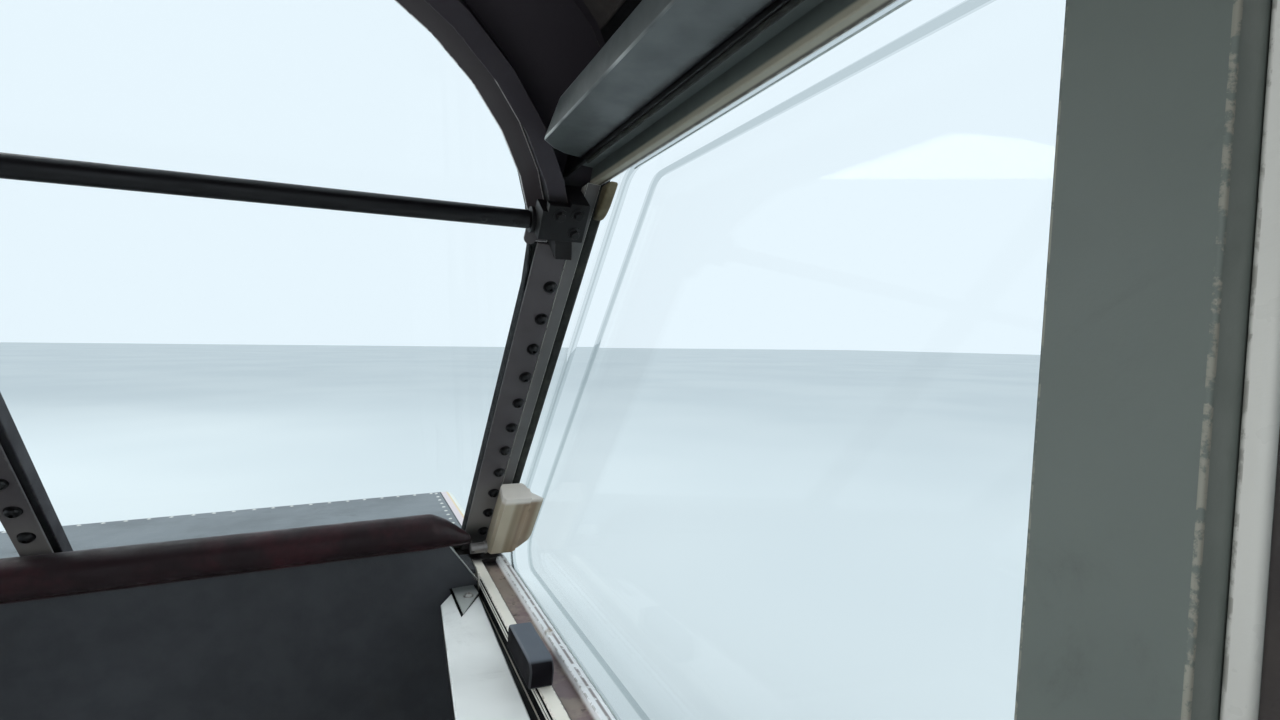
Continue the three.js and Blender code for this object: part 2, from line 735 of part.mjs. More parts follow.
function sashHandle() {
  const { near, far, low, high, back, front } = GRIP;
  const bar = alongY([
    [near, back + 5], [near + 5, back], [far, back], [far, front - 12],
    [far - 11, front], [near + 4, front], [near, front - 4],
  ], low, high);
  const foot = block([far - 8, low + 8, back + 2], [far + 40, high - 6, front - 12]);
  const hollow = tray(
    bulgeOutline(BULGE.foot, PANE_T + FIT), bulgeOutline(BULGE.top, PANE_T + FIT),
    FLANGE_U - 6, BULGE_U - FIT);
  const inboard = block([-FAR, -FAR, -FAR], [FLANGE_U - FIT, FAR, FAR]);
  return common(join(moved(bar, POST, SIDE), moved(foot, POST, SIDE)), join(inboard, hollow));
}

// Assembly

function piece(name, shape, material) {
  const geometry = shape instanceof wasm.Manifold ? geometryOf(shape) : shape;
  const mesh = new THREE.Mesh(geometry, material);
  mesh.name = name;
  return mesh;
}

function placed(matrix, ...meshes) {
  const group = new THREE.Group();
  matrix.decompose(group.position, group.quaternion, group.scale);
  group.add(...meshes);
  return group;
}

function sideOf(side) {
  const wall = [
    ["sill_rail", sillRail, FINISH.sill],
    ["header_rail", headerRail, FINISH.green],
    ["aft_post", aftPost, FINISH.green],
    ["aft_side_panel", aftSidePanel, FINISH.hull],
    ["header_box", headerBox, FINISH.green],
    ["sill_latch", sillLatch, FINISH.latch],
    ["lower_rail", railLower, FINISH.rail],
    ["upper_rail", railUpper, FINISH.rail],
    ["sash_pane", sashPane, FINISH.clear],
    ["sash_handle", sashHandle, FINISH.handle],
  ];
  const corner = [
    ["corner_post", cornerPost, FINISH.hull],
    ["front_jamb", frontJamb, FINISH.jamb],
    ["jamb_seal", jambSeal, FINISH.rubber],
    ["post_strip", postStrip, FINISH.strip],
  ];
  const named = ([name, make, material]) => piece(`${name}_${side}`, make(), material);
  const group = new THREE.Group();
  group.add(
    placed(SIDE, ...wall.map(named)),
    placed(POST, ...corner.map(named)),
    placed(
      GLAZING,
      named(["windshield_pane", windshieldPane, FINISH.clear]),
      named(["tube_bracket", tubeBracket, FINISH.dark])),
    named(["placard_box", placardBox, FINISH.box]),
    named(["corner_plate", cornerPlate, FINISH.frame]),
    named(["lower_side_panel", lowerSidePanel, FINISH.hull]));
  return group;
}

const port = sideOf("port");
const starboard = sideOf("stbd");
starboard.scale.x = -1;

const section = new THREE.Group();
section.add(
  piece("base_frame", baseFrame(), FINISH.frame),
  piece("fore_frame", foreFrame(), FINISH.frame),
  piece("foredeck", foredeck(), FINISH.deck),
  piece("windshield_sill", windshieldSill(), FINISH.hull),
  piece("coaming_roll", coamingRoll(), FINISH.padding),
  piece("coaming_panel", coamingPanel(), FINISH.panel),
  piece("roof_skin", roofSkin(), FINISH.hull),
  piece("ceiling_panel", ceilingPanel(), FINISH.lining),
  piece("aft_frame", aftFrame(), FINISH.frame),
  placed(
    GLAZING,
    piece("windshield_bow", windshieldBow(), FINISH.dark),
    piece("arch_strip", archStrip(), FINISH.strip),
    piece("centre_strip", centreStrip(), FINISH.strip),
    piece("centre_post", centrePost(), FINISH.dark),
    piece("cross_tube", crossTube(), FINISH.dark)),
  port,
  starboard);
section.position.y = -(FRONT_Y + AFT_Y + FRAME_T) / 2;

export default section;
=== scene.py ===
"""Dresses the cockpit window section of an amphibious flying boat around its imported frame."""

import logging
import math
from collections.abc import Callable, Iterable, Iterator, Sequence
from dataclasses import dataclass, field
from enum import Enum

import bmesh
import bpy
from mathutils import Matrix, Vector
from mathutils.bvhtree import BVHTree


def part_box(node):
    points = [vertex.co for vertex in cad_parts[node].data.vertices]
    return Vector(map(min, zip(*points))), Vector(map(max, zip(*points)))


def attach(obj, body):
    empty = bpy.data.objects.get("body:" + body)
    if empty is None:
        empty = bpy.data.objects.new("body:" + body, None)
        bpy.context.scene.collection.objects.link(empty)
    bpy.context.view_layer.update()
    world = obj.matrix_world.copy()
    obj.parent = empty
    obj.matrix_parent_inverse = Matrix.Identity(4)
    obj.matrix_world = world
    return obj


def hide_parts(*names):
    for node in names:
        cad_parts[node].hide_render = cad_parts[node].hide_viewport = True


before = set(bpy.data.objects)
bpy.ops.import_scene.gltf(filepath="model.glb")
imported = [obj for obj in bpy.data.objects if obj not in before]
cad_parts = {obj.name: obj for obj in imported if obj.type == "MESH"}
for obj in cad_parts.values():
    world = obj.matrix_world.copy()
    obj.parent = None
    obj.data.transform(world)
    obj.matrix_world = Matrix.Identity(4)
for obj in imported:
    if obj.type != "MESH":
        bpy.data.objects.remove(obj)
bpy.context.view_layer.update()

log = logging.getLogger("window_section")

MM = 0.001
MERGE = 1e-5
OUTSIDE = 2.0
MIRROR = Matrix.Scale(-1, 4, (1, 0, 0))


class Side(Enum):
    """The two sides of the hull."""

    PORT = 1
    STBD = -1

    @property
    def tag(self) -> str:
        """The ending that this side's nodes and pieces have."""
        return self.name.lower()

    @property
    def matrix(self) -> Matrix:
        """The turn from the port side's coordinates to this side's."""
        return Matrix.Identity(4) if self is Side.PORT else MIRROR

    def named(self, stem: str) -> str:
        """A node's or piece's name on this side."""
        return f"{stem}_{self.tag}"


class Body(Enum):
    """The bodies that pieces ride on."""

    SECTION = "section"
    SASH_PORT = "sash_port"
    SASH_STBD = "sash_stbd"


class Slot(Enum):
    """The record's material slots."""

    HULL = "hull_paint"
    FRAME = "frame_paint"
    DECK = "deck_paint"
    DARK = "dark_paint"
    LINING = "lining"
    STRIP = "strip_paint"
    JAMB = "jamb_metal"
    RUBBER = "rubber"
    GREEN = "green_paint"
    SILL = "sill_paint"
    TRIM = "trim_plastic"
    TUBE = "tube_paint"
    PADDING = "padding"
    PANEL = "panel_paint"
    HANDLE = "handle_plastic"
    LATCH = "latch_plastic"
    RAIL = "rail_metal"
    ACRYLIC = "acrylic"


class Axis(Enum):
    """The direction that an outline is run along."""

    X = 0
    Y = 1
    Z = 2


@dataclass(frozen=True)
class Layout:
    """Driving sizes of the section in metres, in the part's own frame.

    Port side; the starboard side is its mirror image.
    """

    rake: float = math.radians(37.5)
    tilt: float = math.radians(3.5)
    foot_y: float = -0.448
    wall_y: float = 0.200
    sill_z: float = 0.305
    lip_x: float = 0.600
    window_h: float = 0.570
    open_x: float = 0.5425
    arch_start: float = 0.558
    arch_r: float = 0.330
    arch_crown: float = math.radians(18)
    post_corner: float = -0.017

    @property
    def lean(self) -> float:
        """The post's lean outboard, seen square to the windshield."""
        return math.atan(math.tan(self.tilt) * math.cos(self.rake))

    @property
    def glazing(self) -> Matrix:
        """The windshield's frame: x across, y up the slope, z outwards."""
        turn = Matrix.Rotation(math.pi / 2 - self.rake, 4, "X")
        return Matrix.Translation((0, self.foot_y, self.sill_z)) @ turn

    @property
    def wall(self) -> Matrix:
        """The side wall's frame: x outboard from the lip, y aft, z up the wall."""
        turn = Matrix.Rotation(self.tilt, 4, "Y")
        return Matrix.Translation((self.lip_x, self.wall_y, self.sill_z)) @ turn

    @property
    def post(self) -> Matrix:
        """The corner post's frame: x outboard, y up the post, z outwards."""
        turn = Matrix.Rotation(-self.lean, 4, "Z")
        return self.glazing @ Matrix.Translation((self.lip_x, 0, 0)) @ turn

    def arch(self, margin: float, steps: int = 14) -> list[Vector]:
        """Half of the windshield's opening, from the port foot to the crown.

        Args:
            margin: How far the line lies outside the opening's edge.
            steps: The number of steps round the corner.

        Returns:
            Points in the windshield's frame.
        """
        start_x = self.open_x + self.arch_start * math.tan(self.lean)
        centre = Vector((
            start_x - self.arch_r * math.cos(self.lean),
            self.arch_start + self.arch_r * math.sin(self.lean)))
        shoulder = centre.x + self.arch_r * math.sin(self.arch_crown)
        crown_r = shoulder / math.sin(self.arch_crown)
        crown_y = centre.y + (self.arch_r - crown_r) * math.cos(self.arch_crown)
        points = [Vector((self.open_x + margin, 0.0, 0.0))]
        sweep = math.pi / 2 - self.arch_crown + self.lean
        for step in range(steps + 1):
            turn = sweep * step / steps - self.lean
            reach = self.arch_r + margin
            points.append(Vector((
                centre.x + reach * math.cos(turn), centre.y + reach * math.sin(turn), 0.0)))
        half = steps // 2
        for step in range(1, half + 1):
            turn = self.arch_crown * (1 - step / half)
            reach = crown_r + margin
            points.append(Vector((
                reach * math.sin(turn), crown_y + reach * math.cos(turn), 0.0)))
        return points

    def whole_arch(self, margin: float) -> list[Vector]:
        """The windshield's opening from foot to foot, grown by a margin."""
        half = self.arch(margin)
        return half + [Vector((-p.x, p.y, p.z)) for p in reversed(half[:-1])]


LAYOUT = Layout()


class Datum(Enum):
    """The frames that surface patterns are laid out in."""

    PART = "part"
    WALL = "wall"
    POST = "post"
    GLAZING = "glazing"

    @property
    def matrix(self) -> Matrix:
        """This datum's frame on the port side."""
        frames = {
            Datum.PART: Matrix.Identity(4),
            Datum.WALL: LAYOUT.wall,
            Datum.POST: LAYOUT.post,
            Datum.GLAZING: LAYOUT.glazing,
        }
        return frames[self]


def tone(red: float, green: float, blue: float) -> tuple[float, float, float, float]:
    """A screen colour from 0 to 255 as the linear colour that shaders take."""
    def linear(value: float) -> float:
        """One channel."""
        share = value / 255
        return share / 12.92 if share <= 0.04045 else ((share + 0.055) / 1.055) ** 2.4
    return (linear(red), linear(green), linear(blue), 1.0)


Colour = tuple[float, float, float, float]
Feed = bpy.types.NodeSocket | float | Colour


class Board:
    """The node board of one material, with the blocks that the finishes share."""

    def __init__(self, name: str, side: Side = Side.PORT) -> None:
        """Starts a material whose patterns follow one side of the hull."""
        self.material = bpy.data.materials.new(name)
        self.material.use_nodes = True
        self.side = side
        self.tree = self.material.node_tree
        self.shader = self.tree.nodes["Principled BSDF"]
        self.source = self.node("ShaderNodeTexCoord").outputs["Object"]
        self.axes: dict[Datum, bpy.types.Node] = {}

    def node(self, kind: str, **settings: object) -> bpy.types.Node:
        """Adds a node and sets its properties."""
        made = self.tree.nodes.new(kind)
        for key, value in settings.items():
            setattr(made, key, value)
        return made

    def feed(self, socket: bpy.types.NodeSocket, value: Feed) -> None:
        """Links a socket, or sets its own value."""
        if isinstance(value, bpy.types.NodeSocket):
            self.tree.links.new(value, socket)
        else:
            socket.default_value = value

    def set(self, **values: Feed) -> None:
        """Feeds the shader's inputs, named with underscores for spaces."""
        for key, value in values.items():
            self.feed(self.shader.inputs[key.replace("_", " ")], value)

    def stretched(self, scale: Sequence[float]) -> bpy.types.NodeSocket:
        """Object coordinates scaled along each axis."""
        if tuple(scale) == (1, 1, 1):
            return self.source
        mapping = self.node("ShaderNodeMapping")
        mapping.inputs["Scale"].default_value = scale
        self.feed(mapping.inputs["Vector"], self.source)
        return mapping.outputs[0]

    def noise(
            self, scale: float, detail: float = 4, rough: float = 0.55,
            stretch: Sequence[float] = (1, 1, 1), warp: float = 0) -> bpy.types.NodeSocket:
        """A noise of about one half, finer with a larger scale."""
        made = self.node("ShaderNodeTexNoise")
        self.feed(made.inputs["Vector"], self.stretched(stretch))
        made.inputs["Scale"].default_value = scale
        made.inputs["Detail"].default_value = detail
        made.inputs["Roughness"].default_value = rough
        made.inputs["Distortion"].default_value = warp
        return made.outputs[0]

    def cells(self, scale: float, feature: str = "F1") -> bpy.types.NodeSocket:
        """The distance to the nearest cell's middle, or to its edge."""
        made = self.node("ShaderNodeTexVoronoi", feature=feature)
        self.feed(made.inputs["Vector"], self.source)
        made.inputs["Scale"].default_value = scale
        return made.outputs["Distance"]

    def step(self, value: Feed, low: float, high: float,
             start: float = 0, end: float = 1) -> bpy.types.NodeSocket:
        """Smoothly takes a value's range to another one, clamped at both ends."""
        made = self.node("ShaderNodeMapRange", interpolation_type="SMOOTHSTEP")
        self.feed(made.inputs["Value"], value)
        rising = low < high
        made.inputs["From Min"].default_value = low if rising else high
        made.inputs["From Max"].default_value = high if rising else low
        made.inputs["To Min"].default_value = start if rising else end
        made.inputs["To Max"].default_value = end if rising else start
        return made.outputs["Result"]

    def math(self, operation: str, first: Feed, second: Feed = 0.0) -> bpy.types.NodeSocket:
        """One arithmetic step."""
        made = self.node("ShaderNodeMath", operation=operation)
        self.feed(made.inputs[0], first)
        self.feed(made.inputs[1], second)
        return made.outputs[0]

    def both(self, *masks: Feed) -> bpy.types.NodeSocket:
        """The product of some masks."""
        product = masks[0]
        for mask in masks[1:]:
            product = self.math("MULTIPLY", product, mask)
        return product

    def either(self, *masks: Feed) -> bpy.types.NodeSocket:
        """The largest of some masks."""
        largest = masks[0]
        for mask in masks[1:]:
            largest = self.math("MAXIMUM", largest, mask)
        return largest

    def blend(self, share: Feed, first: Feed, second: Feed) -> bpy.types.NodeSocket:
        """Mixes two colours."""
        made = self.node("ShaderNodeMix", data_type="RGBA")
        self.feed(made.inputs[0], share)
        self.feed(made.inputs[6], first)
        self.feed(made.inputs[7], second)
        return made.outputs[2]

    def bump(self, height: Feed, depth: float, strength: float = 1.0) -> None:
        """Raises the surface by a height, on top of what was raised before."""
        made = self.node("ShaderNodeBump")
        made.inputs["Strength"].default_value = strength
        made.inputs["Distance"].default_value = depth
        self.feed(made.inputs["Height"], height)
        normal = self.shader.inputs["Normal"]
        if normal.is_linked:
            self.feed(made.inputs["Normal"], normal.links[0].from_socket)
        self.feed(normal, made.outputs[0])

    def attribute(self, name: str) -> bpy.types.NodeSocket:
        """A value that the mesh holds."""
        return self.node("ShaderNodeAttribute", attribute_name=name).outputs["Fac"]

    def along(self, datum: Datum, axis: Axis) -> bpy.types.NodeSocket:
        """A coordinate in one of the layout's frames, x outboard on either side."""
        if datum not in self.axes:
            split = self.node("ShaderNodeSeparateXYZ")
            if datum is Datum.PART:
                self.feed(split.inputs[0], self.source)
            else:
                turned = self.side.matrix @ datum.matrix @ self.side.matrix
                mapping = self.node("ShaderNodeMapping", vector_type="TEXTURE")
                mapping.inputs["Location"].default_value = turned.to_translation()
                mapping.inputs["Rotation"].default_value = turned.to_euler()
                mapping.inputs["Scale"].default_value = (self.side.value, 1, 1)
                self.feed(mapping.inputs["Vector"], self.source)
                self.feed(split.inputs[0], mapping.outputs[0])
            self.axes[datum] = split
        return self.axes[datum].outputs[axis.value]


@dataclass(frozen=True)
class Band:
    """A stripe of other colour between two distances along an axis.

    A broken band lets the ground through in patches.
    """

    datum: Datum
    axis: Axis
    low: float
    high: float
    colour: Colour
    soft: float = 1 * MM
    cover: float = 1.0
    broken: float = 0.0
    grain: float = 60.0
    centred: bool = False

    def mask(self, board: Board) -> bpy.types.NodeSocket:
        """Where the band covers the ground, from 0 to 1."""
        value = board.along(self.datum, self.axis)
        if self.centred:
            value = board.math("ABSOLUTE", value)
        rise = board.step(value, self.low - self.soft, self.low + self.soft)
        fall = board.step(value, self.high + self.soft, self.high - self.soft)
        mask = board.both(rise, fall, self.cover)
        if self.broken:
            patch = board.noise(self.grain, 5, 0.65)
            gate = board.step(patch, self.broken - 0.06, self.broken + 0.06)
            mask = board.both(mask, gate)
        return mask


@dataclass(frozen=True)
class Paint:
    """A painted or moulded surface with its wear.

    Edges that were softened carry the wear attribute, where the ground shows first.
    """

    name: str
    colour: Colour
    bare: Colour = tone(150, 148, 142)
    grime: Colour = tone(46, 40, 33)
    roughness: float = 0.5
    bare_metal: float = 0.5
    edge_wear: float = 0.5
    chips: float = 0.74
    dirt: float = 0.25
    grain: float = 700.0
    relief: float = 0.05 * MM
    coat: float = 0.0
    shine: float = 0.5
    polish: float = 0.0
    bands: tuple[Band, ...] = ()

    def make(self, side: Side = Side.PORT) -> bpy.types.Material:
        """Builds the material for one side of the hull."""
        board = Board(self.name, side)
        broad = board.noise(5.0, 3)
        ground = board.blend(
            board.step(broad, 0.35, 0.7), self.colour,
            tuple(0.80 * part for part in self.colour[:3]) + (1.0,))
        for band in self.bands:
            ground = board.blend(band.mask(board), ground, band.colour)
        smear = board.noise(9.0, 8, 0.7, warp=0.6)
        dirty = board.step(smear, 0.56, 0.78, 0, self.dirt)
        ground = board.blend(dirty, ground, self.grime)
        edge = board.step(
            board.noise(120.0, 5, 0.7), 0.62 - 0.3 * self.edge_wear, 0.68 - 0.25 * self.edge_wear)
        worn = board.attribute("wear")
        rubbed = board.step(board.noise(7.0, 3), 0.35, 0.6, 0.0, self.polish)
        worn = board.either(board.both(worn, edge, self.edge_wear), board.both(worn, rubbed))
        chip = board.step(board.noise(34.0, 6, 0.72), self.chips, self.chips + 0.015)
        bare = board.either(worn, chip)
        board.set(
            Base_Color=board.blend(bare, ground, self.bare),
            Metallic=board.both(bare, self.bare_metal),
            Roughness=board.step(
                board.noise(26.0, 5), 0.3, 0.7, self.roughness - 0.07, self.roughness + 0.12),
            Specular_IOR_Level=self.shine,
            Coat_Weight=self.coat)
        board.bump(board.noise(self.grain, 3), self.relief)
        board.bump(board.math("SUBTRACT", 1.0, bare), 0.25 * MM, 0.6)
        return board.material


@dataclass(frozen=True)
class Hide:
    """A leathercloth with its grain and soft creases."""

    name: str
    colour: Colour
    bloom: Colour
    roughness: float = 0.55
    grain: float = 420.0
    crease: float = 1.2 * MM
    shine: float = 0.3
    bands: tuple[Band, ...] = ()

    def make(self) -> bpy.types.Material:
        """Builds the material."""
        board = Board(self.name)
        patch = board.step(board.noise(14.0, 6, 0.65), 0.42, 0.75)
        ground = board.blend(patch, self.colour, self.bloom)
        for band in self.bands:
            ground = board.blend(band.mask(board), ground, band.colour)
        board.set(
            Base_Color=ground,
            Roughness=board.step(
                board.noise(40.0, 4), 0.3, 0.7, self.roughness - 0.1, self.roughness + 0.12),
            Specular_IOR_Level=self.shine,
            Sheen_Weight=0.05,
            Sheen_Roughness=0.4)
        board.bump(board.cells(self.grain, "DISTANCE_TO_EDGE"), 0.25 * MM, 0.5)
        board.bump(board.noise(11.0, 4, 0.5, (1, 3, 3)), self.crease, 0.7)
        return board.material


@dataclass(frozen=True)
class Rubber:
    """Weathered seal rubber."""

    name: str
    colour: Colour
    bloom: Colour
    shine: float = 0.4

    def make(self) -> bpy.types.Material:
        """Builds the material."""
        board = Board(self.name)
        patch = board.step(board.noise(30.0, 6, 0.7), 0.45, 0.72)
        board.set(
            Base_Color=board.blend(patch, self.colour, self.bloom),
            Specular_IOR_Level=self.shine,
            Roughness=board.step(board.noise(80.0), 0.3, 0.7, 0.62, 0.85))
        board.bump(board.noise(500.0, 3), 0.12 * MM, 0.5)
        return board.material


@dataclass(frozen=True)
class Metal:
    """Bare or oxidised metal, brushed a little."""

    name: str
    colour: Colour
    stain: Colour
    roughness: float = 0.35
    stained: float = 0.5

    def make(self) -> bpy.types.Material:
        """Builds the material."""
        board = Board(self.name)
        patch = board.step(board.noise(60.0, 6, 0.7), 0.5, 0.75, 0, self.stained)
        board.set(
            Base_Color=board.blend(patch, self.colour, self.stain),
            Metallic=board.math("SUBTRACT", 0.95, board.both(patch, 0.8)),
            Roughness=board.step(
                board.noise(90.0, 4), 0.3, 0.7, self.roughness - 0.08, self.roughness + 0.15))
        board.bump(board.noise(300.0, 3, 0.6, (1, 0.1, 1)), 0.06 * MM, 0.4)
        return board.material


@dataclass(frozen=True)
class Acrylic:
    """Clear acrylic, its bends and cut edges faintly grey-green."""

    name: str
    colour: Colour = tone(247, 251, 250)
    edge: Colour = tone(204, 212, 212)
    haze: float = 0.03
    ior: float = 1.04
    gloss: float = 0.22

    def make(self) -> bpy.types.Material:
        """Builds the material."""
        board = Board(self.name)
        smear = board.step(board.noise(7.0, 7, 0.7, warp=0.8), 0.5, 0.8)
        board.set(
            Base_Color=board.blend(board.attribute("wear"), self.colour, self.edge),
            Roughness=board.step(smear, 0.0, 1.0, 0.01, self.haze),
            IOR=self.ior,
            Coat_Weight=self.gloss,
            Transmission_Weight=1.0)
        return board.material


class Workpiece:
    """A mesh in the making."""

    def __init__(self) -> None:
        """Starts with nothing."""
        self.bm = bmesh.new()
        self.wear = self.bm.faces.layers.float.new("wear")
        self.copied = False
        self.second: bpy.types.Material | None = None

    @classmethod
    def of_node(cls, *names: str) -> "Workpiece":
        """Starts from copies of solids, their loose triangles merged.

        Args:
            names: The nodes to copy.

        Returns:
            The copy, with its flat faces joined up.
        """
        piece = cls()
        for name in names:
            piece.bm.from_mesh(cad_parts[name].data)
        piece.wear = piece.bm.faces.layers.float.get("wear")
        piece.copied = True
        bmesh.ops.remove_doubles(piece.bm, verts=piece.bm.verts, dist=MERGE)
        bmesh.ops.dissolve_limit(
            piece.bm, angle_limit=math.radians(0.3), verts=piece.bm.verts, edges=piece.bm.edges)
        return piece

    def box(self, low: Sequence[float], high: Sequence[float], place: Matrix) -> None:
        """Adds a block between two corners of a frame."""
        size = Vector(high) - Vector(low)
        middle = (Vector(high) + Vector(low)) / 2
        bmesh.ops.create_cube(
            self.bm, size=1, matrix=place @ Matrix.Translation(middle) @ Matrix.Diagonal((*size, 1)))

    def run(self, outline: Sequence[Sequence[float]], axis: Axis, start: float, end: float,
            place: Matrix) -> None:
        """Adds an outline run along an axis.

        Args:
            outline: Points in the two other axes, in order.
            axis: The direction of the run.
            start: Where the run begins.
            end: Where it ends.
            place: The frame that the outline is drawn in.
        """
        corners = []
        for first, second in outline:
            point = [first, second]
            point.insert(axis.value, start)
            corners.append(self.bm.verts.new(point))
        face = self.bm.faces.new(corners)
        made = bmesh.ops.extrude_face_region(self.bm, geom=[face])
        moved = [item for item in made["geom"] if isinstance(item, bmesh.types.BMVert)]
        along = Vector([end - start if index == axis.value else 0.0 for index in range(3)])
        bmesh.ops.translate(self.bm, vec=along, verts=moved)
        bmesh.ops.transform(self.bm, matrix=place, verts=corners + moved)

    def turned(self, profile: Sequence[tuple[float, float]], place: Matrix,
               steps: int = 20) -> None:
        """Adds a profile of radius and height, turned about a frame's z axis."""
        line = [self.bm.verts.new((radius, 0, height)) for radius, height in profile]
        edges = [self.bm.edges.new(pair) for pair in zip(line, line[1:])]
        before = set(self.bm.verts) - set(line)
        bmesh.ops.spin(
            self.bm, geom=line + edges, cent=(0, 0, 0), axis=(0, 0, 1),
            angle=math.tau, steps=steps, use_merge=True)
        fresh = [vert for vert in self.bm.verts if vert not in before]
        bmesh.ops.remove_doubles(self.bm, verts=fresh, dist=MERGE)
        fresh = [vert for vert in self.bm.verts if vert not in before]
        bmesh.ops.transform(self.bm, matrix=place, verts=fresh)

    def cone(self, wide: float, narrow: float, height: float, place: Matrix,
             sides: int = 12) -> None:
        """Adds a tapered stub standing on a frame's plane."""
        bmesh.ops.create_cone(
            self.bm, cap_ends=True, cap_tris=False, segments=sides, radius1=wide,
            radius2=narrow, depth=height,
            matrix=place @ Matrix.Translation((0, 0, height / 2)))

    def swept(self, stations: Sequence[Matrix], radii: Sequence[float], sides: int = 10,
              closed: bool = False) -> None:
        """Adds a round section drawn through frames whose z axes follow the path.

        Args:
            stations: The frames, in order.
            radii: The section's radius at each frame.
            sides: The number of faces round the section.
            closed: Whether the last frame joins the first.
        """
        rings = []
        for station, radius in zip(stations, radii):
            made = bmesh.ops.create_circle(
                self.bm, cap_ends=False, segments=sides, radius=radius, matrix=station)
            rings.append(made["verts"])
        loops = list(zip(rings, rings[1:]))
        if closed:
            loops.append((rings[-1], rings[0]))
        for first, second in loops:
            ends = self.ring_edges(first) + self.ring_edges(second)
            bmesh.ops.bridge_loops(self.bm, edges=ends)
        if not closed:
            for ring in (rings[0], rings[-1]):
                bmesh.ops.contextual_create(self.bm, geom=self.ring_edges(ring))

    @staticmethod
    def ring_edges(ring: Sequence[bmesh.types.BMVert]) -> list[bmesh.types.BMEdge]:
        """The edges that join the points of one ring."""
        members = set(ring)
        found = {
            edge for vert in ring for edge in vert.link_edges
            if edge.verts[0] in members and edge.verts[1] in members}
        return list(found)

    def soften(self, width: float, segments: int = 2, angle: float = 28, inner: bool = False,
               spare: Callable[[bmesh.types.BMFace], bool] | None = None) -> "Workpiece":
        """Rounds the outer edges and marks the new faces as worn.

        Args:
            width: The width of the rounding.
            segments: The number of faces across it.
            angle: The least turn in degrees that counts as an edge.
            inner: Whether inner corners are rounded too.
            spare: The faces whose edges are left as they are.

        Returns:
            The same piece.
        """
        least = math.radians(angle)
        edges = [
            edge for edge in self.bm.edges
            if len(edge.link_faces) == 2 and edge.calc_face_angle() > least
            and (inner or edge.is_convex)
            and not (spare and any(spare(face) for face in edge.link_faces))]
        made = bmesh.ops.bevel(
            self.bm, geom=edges, offset=width, offset_type="OFFSET", segments=segments,
            profile=0.5, affect="EDGES", clamp_overlap=True, material=-1)
        for face in made["faces"]:
            face[self.wear] = 1.0
        return self

    def unworn(self, chosen: Callable[[bmesh.types.BMFace], bool]) -> "Workpiece":
        """Takes the wear off some faces."""
        for face in self.bm.faces:
            if chosen(face):
                face[self.wear] = 0.0
        return self

    def second_finish(self, chosen: Callable[[bmesh.types.BMFace], bool],
                      material: bpy.types.Material) -> "Workpiece":
        """Gives some faces another finish."""
        self.second = material
        for face in self.bm.faces:
            face.material_index = 1 if chosen(face) else 0
        return self

    def recalculated(self) -> "Workpiece":
        """Turns all faces outwards."""
        bmesh.ops.recalc_face_normals(self.bm, faces=self.bm.faces)
        return self

    def finish(self, name: str, material: bpy.types.Material, body: Body = Body.SECTION,
               slot: Slot | None = None, replaces: Sequence[str] = (),
               angle: float = 32) -> bpy.types.Object:
        """Makes the object, rides it on its body and reports it.

        Args:
            name: The piece's name.
            material: Its finish.
            body: The body that it moves with.
            slot: The record's slot that its finish stands for.
            replaces: The nodes that it stands for.
            angle: The turn in degrees above which an edge is drawn sharp.

        Returns:
            The finished object.
        """
        if not self.copied:
            self.recalculated()
        mesh = bpy.data.meshes.new(name)
        self.bm.to_mesh(mesh)
        self.bm.free()
        mesh.shade_smooth()
        mesh.set_sharp_from_angle(angle=math.radians(angle))
        mesh.materials.append(material)
        if self.second:
            mesh.materials.append(self.second)
        piece = bpy.data.objects.new(name, mesh)
        bpy.context.scene.collection.objects.link(piece)
        even = piece.modifiers.new("even_shading", "WEIGHTED_NORMAL")
        even.keep_sharp = True
        bake_modifiers(piece)
        return settle(piece, body, slot, replaces)


def bake_modifiers(piece: bpy.types.Object) -> None:
    """Makes a piece's modifiers part of its mesh."""
    shape = piece.evaluated_get(bpy.context.evaluated_depsgraph_get())
    mesh = bpy.data.meshes.new_from_object(
        shape, preserve_all_data_layers=True, depsgraph=bpy.context.evaluated_depsgraph_get())
    old = piece.data
    piece.modifiers.clear()
    piece.data = mesh
    bpy.data.meshes.remove(old)
    mesh.name = piece.name


def settle(piece: bpy.types.Object, body: Body, slot: Slot | None,
           replaces: Sequence[str]) -> bpy.types.Object:
    """Rides a finished piece on its body and reports it.

    Args:
        piece: The object.
        body: The body that it moves with.
        slot: The record's slot that its finish stands for; not used.
        replaces: The nodes that it stands for.

    Returns:
        The same object.
    """
    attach(piece, body.value)
    if replaces:
        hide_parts(*replaces)
    log.info("%s: %d faces", piece.name, len(piece.data.polygons))
    return piece


def stations_along(points: Sequence[Vector], closed: bool = False) -> list[Matrix]:
    """Frames along a path, each with its z axis on the path's direction.

    Args:
        points: The path's points.
        closed: Whether the path joins its ends.

    Returns:
        A frame for each point.
    """
    frames = []
    count = len(points)
    for index, point in enumerate(points):
        before = points[index - 1] if index or closed else point
        after = points[(index + 1) % count] if index < count - 1 or closed else point
        turn = (after - before).to_track_quat("Z", "Y")
        frames.append(Matrix.Translation(point) @ turn.to_matrix().to_4x4())
    return frames


